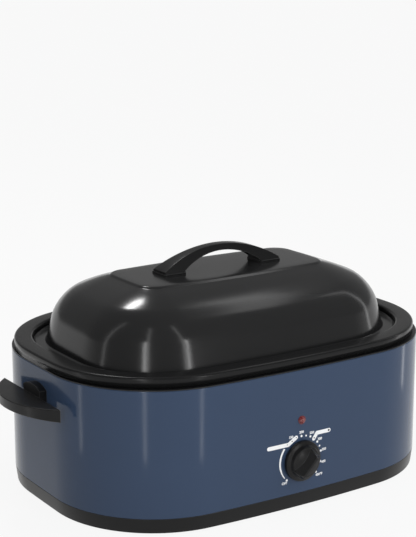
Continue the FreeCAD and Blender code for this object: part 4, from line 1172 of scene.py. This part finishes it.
    def _well(self, plan: OvalPlan) -> None:
        """Pressed well that hangs on the collar's ledge.

        Args:
            plan: The body's plan.
        """
        low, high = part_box("heating_well")
        floor = low.z + self.well_wall
        middle = self.well_inset + self.well_corner + self.well_flat
        section = [
            Corner(self.collar_flange + self.well_gap, high.z),
            Corner(self.well_inset, high.z, self.well_round),
            Corner(self.well_inset, floor, self.well_corner),
            Corner(middle, floor),
        ]
        self.bench.press("pressed_well", plan, section, "heating_well", self.well_wall)


@dataclass
class RoastingPan:
    """Removable enamelled pan with a flat rim, a turned-down lip and an inner ledge."""

    bench: Bench
    side_radius: float = 1900 * MM
    end_radius: float = 1200 * MM
    corner_radius: float = 156 * MM
    lip: float = 13 * MM
    rim: float = 24.5 * MM
    rim_round: float = 3.2 * MM
    ledge_drop: float = 10 * MM
    ledge: float = 11.5 * MM
    draft: float = 6 * MM
    bottom_round: float = 31 * MM
    step_round: float = 1.6 * MM
    ledge_round: float = 2.6 * MM
    flat: float = 12 * MM
    wall: float = 0.8 * MM

    def build(self) -> None:
        """Build the pan as one drawn sheet."""
        plan = OvalPlan.round_node("roasting_pan", self.side_radius, self.end_radius, self.corner_radius)
        low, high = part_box("roasting_pan")
        floor = low.z + self.wall
        well = self.rim + self.ledge
        middle = well + self.draft + self.bottom_round + self.flat
        ledge_z = high.z - self.ledge_drop
        section = [
            Corner(0, high.z - self.lip),
            Corner(0, high.z, self.rim_round),
            Corner(self.rim, high.z, self.rim_round),
            Corner(self.rim, ledge_z, self.step_round),
            Corner(well, ledge_z, self.ledge_round),
            Corner(well + self.draft, floor, self.bottom_round),
            Corner(middle, floor),
        ]
        self.bench.press("drawn_pan", plan, section, "roasting_pan", self.wall)


@dataclass
class WireRack:
    """Chromed wire rack with a bead of weld at each joint and two lifting bails."""

    bench: Bench
    bead: float = 1.9 * MM
    bead_shape: tuple[float, float, float] = (1.15, 1.15, 0.62)
    wire_gap: float = 5 * MM

    def build(self) -> None:
        """Build the wires and their welds."""
        for node, name in (
            ("rack_frame", "rack_rim_wire"),
            ("rack_long_wires", "rack_grid_long"),
            ("rack_cross_wires", "rack_grid_cross"),
            ("rack_feet", "rack_bent_feet"),
            ("rack_bail_left", "rack_left_bail"),
            ("rack_bail_right", "rack_right_bail"),
        ):
            self.bench.refine(node, name, crease=50)
        self._welds()

    def _welds(self) -> None:
        """Bead of weld wherever a grid wire crosses the rim wire."""
        low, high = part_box("rack_frame")
        middle_z = (low.z + high.z) / 2
        mesh = bmesh.new()
        for node, along in (("rack_long_wires", 0), ("rack_cross_wires", 1)):
            wires = self._wire_lines(node, 1 - along)
            grid_low, grid_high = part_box(node)
            grid_z = (grid_low.z + grid_high.z) / 2
            contact_z = (grid_z + middle_z) / 2
            for line in wires:
                for edge in (low, high):
                    side = 1 if edge is low else -1
                    place = Vector((0, 0, contact_z))
                    place[along] = edge[along] + side * (high.z - low.z) / 2
                    place[1 - along] = line
                    self._bead(mesh, place)
        self.bench.place("rack_welds", mesh, "rack_frame", replaces=False)

    def _wire_lines(self, node: str, across: int) -> list[float]:
        """Centre of each wire in a grid node.

        Args:
            node: The grid's node.
            across: Index of the axis across the wires.

        Returns:
            The centres along that axis.
        """
        spots = sorted({round(vertex.co[across], 4) for vertex in self.bench.nodes[node].data.vertices})
        groups: list[list[float]] = []
        for spot in spots:
            if groups and spot - groups[-1][-1] < self.wire_gap:
                groups[-1].append(spot)
            else:
                groups.append([spot])
        return [(group[0] + group[-1]) / 2 for group in groups]

    def _bead(self, mesh: bmesh.types.BMesh, place: Vector) -> None:
        """Add one flattened bead.

        Args:
            mesh: The mesh to add to.
            place: The bead's centre.
        """
        shape = Matrix.Translation(place) @ Matrix.Diagonal((*self.bead_shape, 1))
        bmesh.ops.create_icosphere(mesh, subdivisions=2, radius=self.bead, matrix=shape)


@dataclass
class DomedLid:
    """Glossy enamelled lid with a rolled flange, and its arched handle."""

    bench: Bench
    side_radius: float = 1872 * MM
    end_radius: float = 1172 * MM
    corner_radius: float = 128 * MM
    wall: float = 0.6 * MM
    lip: float = 2.6 * MM
    flange: float = 14.2 * MM
    lean: float = 13.6
    shoulder_height: float = 62.2 * MM
    shoulder_radius: float = 58 * MM
    crown_inset: float = 80 * MM
    crown_angle: float = 22.0
    top_inset: float = 100 * MM
    top_angle: float = 16.0
    top_round: float = 200 * MM
    emboss: float = 2.5 * MM
    emboss_run: float = 3.5 * MM
    emboss_round: float = 4 * MM
    emboss_flat: float = 16 * MM
    lip_round: float = 0.9 * MM
    flange_round: float = 2.6 * MM

    def build(self) -> None:
        """Build the lid's shell and dress its handle."""
        self._shell()
        self.bench.refine("lid_handle", "strap_handle", 0.5 * MM)
        self.bench.refine("lid_handle_pads", "handle_gaskets", 0.4 * MM)

    def _shell(self) -> None:
        """Pressed shell, swept from its lip to the raised top."""
        plan = OvalPlan.round_node("lid_shell", self.side_radius, self.end_radius, self.corner_radius)
        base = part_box("lid_shell")[0].z
        shoulder = self.flange + self.shoulder_height * math.tan(math.radians(self.lean))
        crown_run = self.crown_inset - shoulder
        crown = self.shoulder_height + crown_run * math.tan(math.radians(self.crown_angle))
        top_run = self.top_inset - self.crown_inset
        top = crown + top_run * math.tan(math.radians(self.top_angle))
        raised = base + top + self.emboss
        section = [
            Corner(self.wall, base + self.wall + self.lip),
            Corner(self.wall, base + self.wall, self.lip_round),
            Corner(self.flange, base + self.wall, self.flange_round),
            Corner(shoulder, base + self.shoulder_height, self.shoulder_radius),
            Corner(self.crown_inset, base + crown, self.top_round),
            Corner(self.top_inset, base + top, self.emboss_round),
            Corner(self.top_inset + self.emboss_run, raised, self.emboss_round),
            Corner(self.top_inset + self.emboss_flat, raised),
        ]
        self.bench.press("pressed_lid", plan, section, "lid_shell", self.wall)


class MarkKind(Enum):
    """What the dial prints at an angle."""

    NUMBER = "number"
    DOT = "dot"


class Mark(NamedTuple):
    """One mark of the dial: its angle clockwise from the top, its kind and text, and if it has a dot."""

    angle: float
    kind: MarkKind
    text: str = ""
    dotted: bool = True


@dataclass
class DialPrint:
    """Screen-printed scale round the knob, laid on the bowed front."""

    bench: Bench
    plan: OvalPlan
    ink: float = 0.06 * MM
    dot_ring: float = 32.4 * MM
    number_ring: float = 37.6 * MM
    number_dot: float = 1.6 * MM
    dot: float = 1.25 * MM
    digit: float = 4.7 * MM
    boldness: float = 0.16 * MM
    long_text: int = 3
    long_text_out: float = 1.6 * MM
    arc_start: float = -128.0
    arc_finish: float = -53.0
    arc_inside: float = 0.4 * MM
    arc_outside: float = 0.9 * MM
    arc_growth: float = 1.3 * MM
    arc_taper: float = 2.2
    arc_steps: int = 36
    disc_sides: int = 24
    flag_width: float = 5.4 * MM
    marks: tuple[Mark, ...] = (
        Mark(0.0, MarkKind.NUMBER, "200"),
        Mark(13.0, MarkKind.DOT),
        Mark(26.3, MarkKind.NUMBER, "250"),
        Mark(52.6, MarkKind.NUMBER, "300"),
        Mark(65.8, MarkKind.DOT),
        Mark(79.0, MarkKind.NUMBER, "350"),
        Mark(105.0, MarkKind.NUMBER, "400"),
        Mark(131.5, MarkKind.NUMBER, "450°F"),
        Mark(-26.3, MarkKind.NUMBER, "150", dotted=False),
        Mark(-136.0, MarkKind.NUMBER, "OFF"),
    )

    def build(self) -> None:
        """Print the scale."""
        low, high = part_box("control_knob")
        self.centre = Vector(((low.x + high.x) / 2, 0, (low.z + high.z) / 2))
        self._dots()
        self._numbers()
        self._warming_arc()
        self._flags()

    def _spot(self, angle: float, ring: float) -> Vector:
        """Flat place on the dial at an angle clockwise from the top."""
        turn = math.radians(angle)
        return self.centre + Vector((ring * math.sin(turn), 0, ring * math.cos(turn)))

    def _lay(self, name: str, mesh: bmesh.types.BMesh, lift: float, material: bpy.types.Material) -> None:
        """Lay flat shapes on the front face and give them the ink's thickness.

        Args:
            name: The piece's name.
            mesh: Flat faces in the dial's plane at y 0.
            lift: How far their back stands off the paint.
            material: The ink.
        """
        bmesh.ops.remove_doubles(mesh, verts=mesh.verts, dist=0.005 * MM)
        bmesh.ops.recalc_face_normals(mesh, faces=mesh.faces)
        away = [face for face in mesh.faces if face.normal.y > 0]
        bmesh.ops.reverse_faces(mesh, faces=away)
        walls = bmesh.ops.extrude_face_region(mesh, geom=mesh.faces[:])["geom"]
        fronts = [item for item in walls if isinstance(item, bmesh.types.BMVert)]
        bmesh.ops.translate(mesh, verts=fronts, vec=(0, -self.ink, 0))
        for vert in mesh.verts:
            vert.co.y += self.plan.front_y(vert.co.x) - lift
        bmesh.ops.recalc_face_normals(mesh, faces=mesh.faces)
        piece = self.bench.place(name, mesh, "body_wrap", replaces=False, crease=30, material=material)
        piece.data.update()

    def _upright(self, place: Vector) -> Matrix:
        """Turn that stands a flat shape up to face the front, at this place."""
        return Matrix.Translation(place) @ Euler((math.pi / 2, 0, 0)).to_matrix().to_4x4()

    def _disc(self, mesh: bmesh.types.BMesh, place: Vector, radius: float) -> None:
        """Add a disc that faces the front.

        Args:
            mesh: The mesh to add to.
            place: The disc's centre.
            radius: Its radius.
        """
        bmesh.ops.create_circle(
            mesh, cap_ends=True, segments=self.disc_sides, radius=radius, matrix=self._upright(place)
        )

    def _dots(self) -> None:
        """Dots of the scale."""
        mesh = bmesh.new()
        for mark in self.marks:
            radius = self.number_dot if mark.kind is MarkKind.NUMBER else self.dot
            if mark.dotted:
                self._disc(mesh, self._spot(mark.angle, self.dot_ring), radius)
        self._lay("dial_dots", mesh, 0.0, self.bench.ink())

    def _numbers(self) -> None:
        """Upright numbers round the scale, and OFF."""
        mesh = bmesh.new()
        for mark in self.marks:
            if mark.kind is not MarkKind.NUMBER:
                continue
            ring = self.number_ring + (self.long_text_out if len(mark.text) > self.long_text else 0)
            self._write(mesh, mark.text, self._spot(mark.angle, ring))
        self._lay("dial_numbers", mesh, 0.0, self.bench.ink())

    def _write(self, mesh: bmesh.types.BMesh, text: str, place: Vector) -> None:
        """Add upright text centred on a place.

        Args:
            mesh: The mesh to add to.
            text: What it says.
            place: Its centre.
        """
        curve = bpy.data.curves.new("dial_text", "FONT")
        curve.body = text
        curve.size = self.digit
        curve.align_x = "CENTER"
        curve.align_y = "CENTER"
        curve.offset = self.boldness
        holder = link_object("dial_text", curve)
        bpy.context.view_layer.update()
        flat = bpy.data.meshes.new_from_object(holder)
        flat.transform(self._upright(place))
        mesh.from_mesh(flat)
        bpy.data.objects.remove(holder)
        bpy.data.curves.remove(curve)
        bpy.data.meshes.remove(flat)

    def _warming_arc(self) -> None:
        """Thick arc from OFF up to the first mark, tapered at its lower end."""
        start = math.radians(self.arc_start)
        turn = math.radians(self.arc_finish) - start
        mesh = bmesh.new()
        first = self._spot(self.arc_start, self.dot_ring - self.arc_inside)
        second = self._spot(self.arc_start, self.dot_ring + self.arc_outside)
        edge = mesh.edges.new((mesh.verts.new(first), mesh.verts.new(second)))
        bmesh.ops.spin(
            mesh, geom=[edge, *edge.verts], cent=self.centre, axis=(0, 1, 0), angle=turn, steps=self.arc_steps
        )
        for vert in mesh.verts:
            spoke = vert.co - self.centre
            along = (math.atan2(spoke.x, spoke.z) - start) / turn
            if spoke.length > self.dot_ring:
                spoke.length += self.arc_growth * min(1.0, self.arc_taper * along)
                vert.co = self.centre + spoke
        self._lay("dial_warming_arc", mesh, 0.0, self.bench.ink())

    def _flags(self) -> None:
        """Two bent flags, with the small dots and the ring printed over them."""
        left = [Vector((-50.8, 0, 24.5)), Vector((-20.9, 0, 24.5)), Vector((-8.4, 0, 32.0))]
        right = [Vector((19.9, 0, 24.9)), Vector((24.9, 0, 31.8)), Vector((44.6, 0, 31.8))]
        mesh = bmesh.new()
        for points in (left, right):
            places = [self.centre + point * MM for point in points]
            self._stroke(mesh, places, self.flag_width / 2)
        self._lay("dial_flags", mesh, 0.0, self.bench.ink())
        dots = bmesh.new()
        for x, z, radius in (
            (-22.5, 24.9, 0.65),
            (-14.8, 28.1, 0.85),
            (-8.4, 31.9, 0.65),
            (20.6, 25.9, 0.85),
            (44.4, 31.8, 1.5),
        ):
            self._disc(dots, self.centre + Vector((x, 0, z)) * MM, radius * MM)
        self._lay("dial_flag_dots", dots, self.ink, self.bench.finish("black_plastic"))

    def _stroke(self, mesh: bmesh.types.BMesh, places: Sequence[Vector], half: float) -> None:
        """Add a bent stroke with round ends.

        Args:
            mesh: The mesh to add to.
            places: The stroke's centre line.
            half: Half its width.
        """
        for start, finish in zip(places, places[1:]):
            run = (finish - start).normalized()
            side = Vector((-run.z, 0, run.x)) * half
            verts = [mesh.verts.new(start + side), mesh.verts.new(start - side)]
            edge = mesh.edges.new(verts)
            swept = bmesh.ops.extrude_edge_only(mesh, edges=[edge])["geom"]
            far = [item for item in swept if isinstance(item, bmesh.types.BMVert)]
            bmesh.ops.translate(mesh, verts=far, vec=finish - start)
        for place in places:
            self._disc(mesh, place, half)


@dataclass
class Controls:
    """Temperature knob and pilot lamp."""

    bench: Bench

    def build(self) -> None:
        """Dress the knob and the lamp's lens."""
        self.bench.refine("control_knob", "grip_knob", 0.3 * MM, crease=40)
        self.bench.refine("indicator_lens", "pilot_lens", crease=40)


@dataclass
class CarryingHandles:
    """Moulded handles at the two ends."""

    bench: Bench

    def build(self) -> None:
        """Dress the handles with rounded edges."""
        self.bench.refine("side_handle_left", "left_grip", 0.6 * MM)
        self.bench.refine("side_handle_right", "right_grip", 0.6 * MM)


# ---- studio --------------------------------------------------------------------------------------
class Softbox(NamedTuple):
    """An area lamp aimed at the roaster: its bearing and height angle in degrees, and its size and power.

    The bearing is measured from the dial's side (-Y), growing towards +X.
    """

    name: str
    bearing: float
    rise: float
    distance: float
    width: float
    height: float
    watts: float
    outline: str = "RECTANGLE"

    def place(self, target: Vector) -> Vector:
        """Where the lamp hangs.

        Args:
            target: The point that it looks at.

        Returns:
            Its place.
        """
        turn = math.radians(self.bearing)
        tilt = math.radians(self.rise)
        level = math.cos(tilt)
        direction = Vector((math.sin(turn) * level, -math.cos(turn) * level, math.sin(tilt)))
        return target + direction * self.distance


class GlossStrip(NamedTuple):
    """An upright strip lamp that stands on the floor near the roaster: its place, size and power."""

    name: str
    x: float
    y: float
    width: float
    height: float
    watts: float
    outline: str = "RECTANGLE"


@dataclass
class Studio:
    """Pale floor, soft surroundings, strip lamps and the camera."""

    floor_half: float = 30.0
    floor_colour: Colour = (0.62, 0.62, 0.62, 1)
    floor_shade: Colour = (0.6, 0.6, 0.6, 1)
    floor_patches: float = 1.5
    floor_roughness: float = 0.8
    floor_level: float = 0.1
    floor_glow: float = 0.9
    air_colour: Colour = (0.97, 0.985, 1.0, 1)
    air_turns: float = -0.6
    air_dim: float = 0.1
    air_bright: float = 1.15
    air_from: tuple[float, float, float] = (0.5, -0.75, 0.43)
    white_below: float = 0.03
    grey_above: float = 0.16
    grey: float = 0.3
    target: tuple[float, float, float] = (0.0, 0.0, 0.25)
    boxes: tuple[Softbox, ...] = (
        Softbox("strip_near_camera", -46, 12, 2.6, 0.12, 1.3, 8),
        Softbox("strip_front", 12, 12, 2.6, 0.12, 1.3, 9),
        Softbox("box_behind", 175, 56, 2.4, 0.5, 0.28, 13, "ELLIPSE"),
        Softbox("box_right", 90, 57, 2.2, 1.5, 0.3, 3),
    )
    gloss_strips: tuple[GlossStrip, ...] = (
        GlossStrip("gloss_near_camera", -0.38, -0.34, 0.02, 0.85, 0.22),
        GlossStrip("gloss_front", -0.085, -0.42, 0.02, 0.85, 0.22),
        GlossStrip("gloss_right", 0.6, -0.22, 0.03, 0.85, 0.3),
        GlossStrip("gloss_left", -0.52, 0.01, 0.02, 0.85, 0.15),
    )
    camera_place: tuple[float, float, float] = (-1.06935, -1.60247, 0.74236)
    camera_turn: float = 0.579
    camera_dip: float = 0.234
    lens: float = 97.84
    sensor: float = 36.0

    def build(self) -> None:
        """Build the studio."""
        self._world()
        self._floor()
        for box in self.boxes:
            self._hang(box)
        for strip in self.gloss_strips:
            self._stand(strip)
        self._camera()
        bpy.context.scene.view_settings.view_transform = "Standard"

    def _seen(self, sheet: NodeSheet) -> bpy.types.NodeSocket:
        """One where a ray comes from the camera, a mirror or clear glass, else zero.

        Args:
            sheet: The nodes to add it to.

        Returns:
            The mask's socket.
        """
        path = sheet.add("ShaderNodeLightPath")
        direct = sheet.math("MAXIMUM", path.outputs["Is Camera Ray"], path.outputs["Is Glossy Ray"])
        return sheet.math("MAXIMUM", direct, path.outputs["Is Transmission Ray"])

    def _world(self) -> None:
        """Surroundings to look at, white and greyer overhead, and ones that light from the front right."""
        world = bpy.data.worlds.new("studio_air")
        bpy.context.scene.world = world
        world.use_nodes = True
        sheet = NodeSheet(world.node_tree)
        for node in list(world.node_tree.nodes):
            world.node_tree.nodes.remove(node)
        bearing = sheet.add("ShaderNodeTexCoord").outputs["Generated"]
        towards = sheet.add("ShaderNodeVectorMath", {"operation": "DOT_PRODUCT"})
        sheet.join(bearing, towards.inputs[0])
        sheet.join(Vector(self.air_from).normalized(), towards.inputs[1])
        ramp = sheet.add(
            "ShaderNodeMapRange",
            {"interpolation_type": "SMOOTHSTEP"},
            Value=towards.outputs["Value"],
            From_Min=self.air_turns,
            To_Min=self.air_dim,
            To_Max=self.air_bright,
        )
        lit = sheet.add("ShaderNodeBackground", Color=self.air_colour, Strength=ramp.outputs[0])
        height = sheet.add("ShaderNodeSeparateXYZ", Vector=bearing).outputs["Z"]
        dusk = sheet.add(
            "ShaderNodeMapRange",
            {"interpolation_type": "SMOOTHSTEP"},
            Value=height,
            From_Min=self.white_below,
            From_Max=self.grey_above,
            To_Min=1.0,
            To_Max=self.grey,
        )
        shown = sheet.add("ShaderNodeBackground", Color=(1, 1, 1, 1), Strength=dusk.outputs[0])
        mix = sheet.add("ShaderNodeMixShader", Fac=self._seen(sheet))
        sheet.join(lit.outputs[0], mix.inputs[1])
        sheet.join(shown.outputs[0], mix.inputs[2])
        sheet.join(mix.outputs[0], sheet.add("ShaderNodeOutputWorld").inputs["Surface"])

    def _floor(self) -> None:
        """Pale floor under the feet."""
        mesh = bmesh.new()
        bmesh.ops.create_grid(mesh, x_segments=8, y_segments=8, size=self.floor_half)
        data = bpy.data.meshes.new("studio_floor")
        mesh.to_mesh(data)
        mesh.free()
        floor = link_object("studio_floor", data)
        sheet = MaterialSheet("floor_paper")
        noise = sheet.add("ShaderNodeTexNoise", Vector=sheet.place, Scale=self.floor_patches, Detail=2.0)
        sheet.dress(
            Base_Color=sheet.tint(self.floor_colour, self.floor_shade, noise.outputs[0]),
            Roughness=self.floor_roughness,
            Specular_IOR_Level=self.floor_level,
        )
        glow = sheet.add("ShaderNodeEmission", Color=(1, 1, 1, 1), Strength=1.0)
        share = sheet.math("MULTIPLY", self._seen(sheet), self.floor_glow)
        mix = sheet.add("ShaderNodeMixShader", Fac=share)
        sheet.join(sheet.shader.outputs[0], mix.inputs[1])
        sheet.join(glow.outputs[0], mix.inputs[2])
        sheet.join(mix.outputs[0], sheet.tree.nodes["Material Output"].inputs["Surface"])
        data.materials.append(sheet.material)

    def _lamp(self, lamp: "Softbox | GlossStrip", location: Vector, aim: Vector) -> bpy.types.Object:
        """Put up one area lamp.

        Args:
            lamp: Its name, outline, size and power.
            location: Its place.
            aim: The direction that it faces.

        Returns:
            The lamp.
        """
        data = bpy.data.lights.new(lamp.name, "AREA")
        data.shape = lamp.outline
        data.size = lamp.width
        data.size_y = lamp.height
        data.energy = lamp.watts
        made = link_object(lamp.name, data)
        made.location = location
        made.rotation_euler = aim.to_track_quat("-Z", "Y").to_euler()
        return made

    def _hang(self, box: Softbox) -> None:
        """Hang one softbox, aimed at the target."""
        place = box.place(Vector(self.target))
        self._lamp(box, place, Vector(self.target) - place)

    def _stand(self, strip: GlossStrip) -> None:
        """Stand one strip lamp by the roaster, out of the camera's sight and lighting gloss only.

        Args:
            strip: The strip.
        """
        place = Vector((strip.x, strip.y, strip.height / 2))
        lamp = self._lamp(strip, place, Vector((-strip.x, -strip.y, 0)))
        lamp.visible_camera = False
        lamp.visible_diffuse = False

    def _camera(self) -> None:
        """Camera at the eye's place."""
        data = bpy.data.cameras.new("studio_camera")
        data.lens = self.lens
        data.sensor_width = self.sensor
        camera = link_object("studio_camera", data)
        camera.location = self.camera_place
        camera.rotation_euler = (math.pi / 2 - self.camera_dip, 0, -self.camera_turn)
        bpy.context.scene.camera = camera


def main() -> None:
    """Load the frame, build every assembly in order and light it."""
    logging.basicConfig(level=logging.INFO, format="%(name)s: %(message)s")
    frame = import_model()
    bench = Bench(frame)
    plan = HeatedBase(bench).build()
    CarryingHandles(bench).build()
    Controls(bench).build()
    DialPrint(bench, plan).build()
    RoastingPan(bench).build()
    WireRack(bench).build()
    DomedLid(bench).build()
    bench.dress_the_rest()
    Studio().build()


if __name__ == "__main__":
    main()
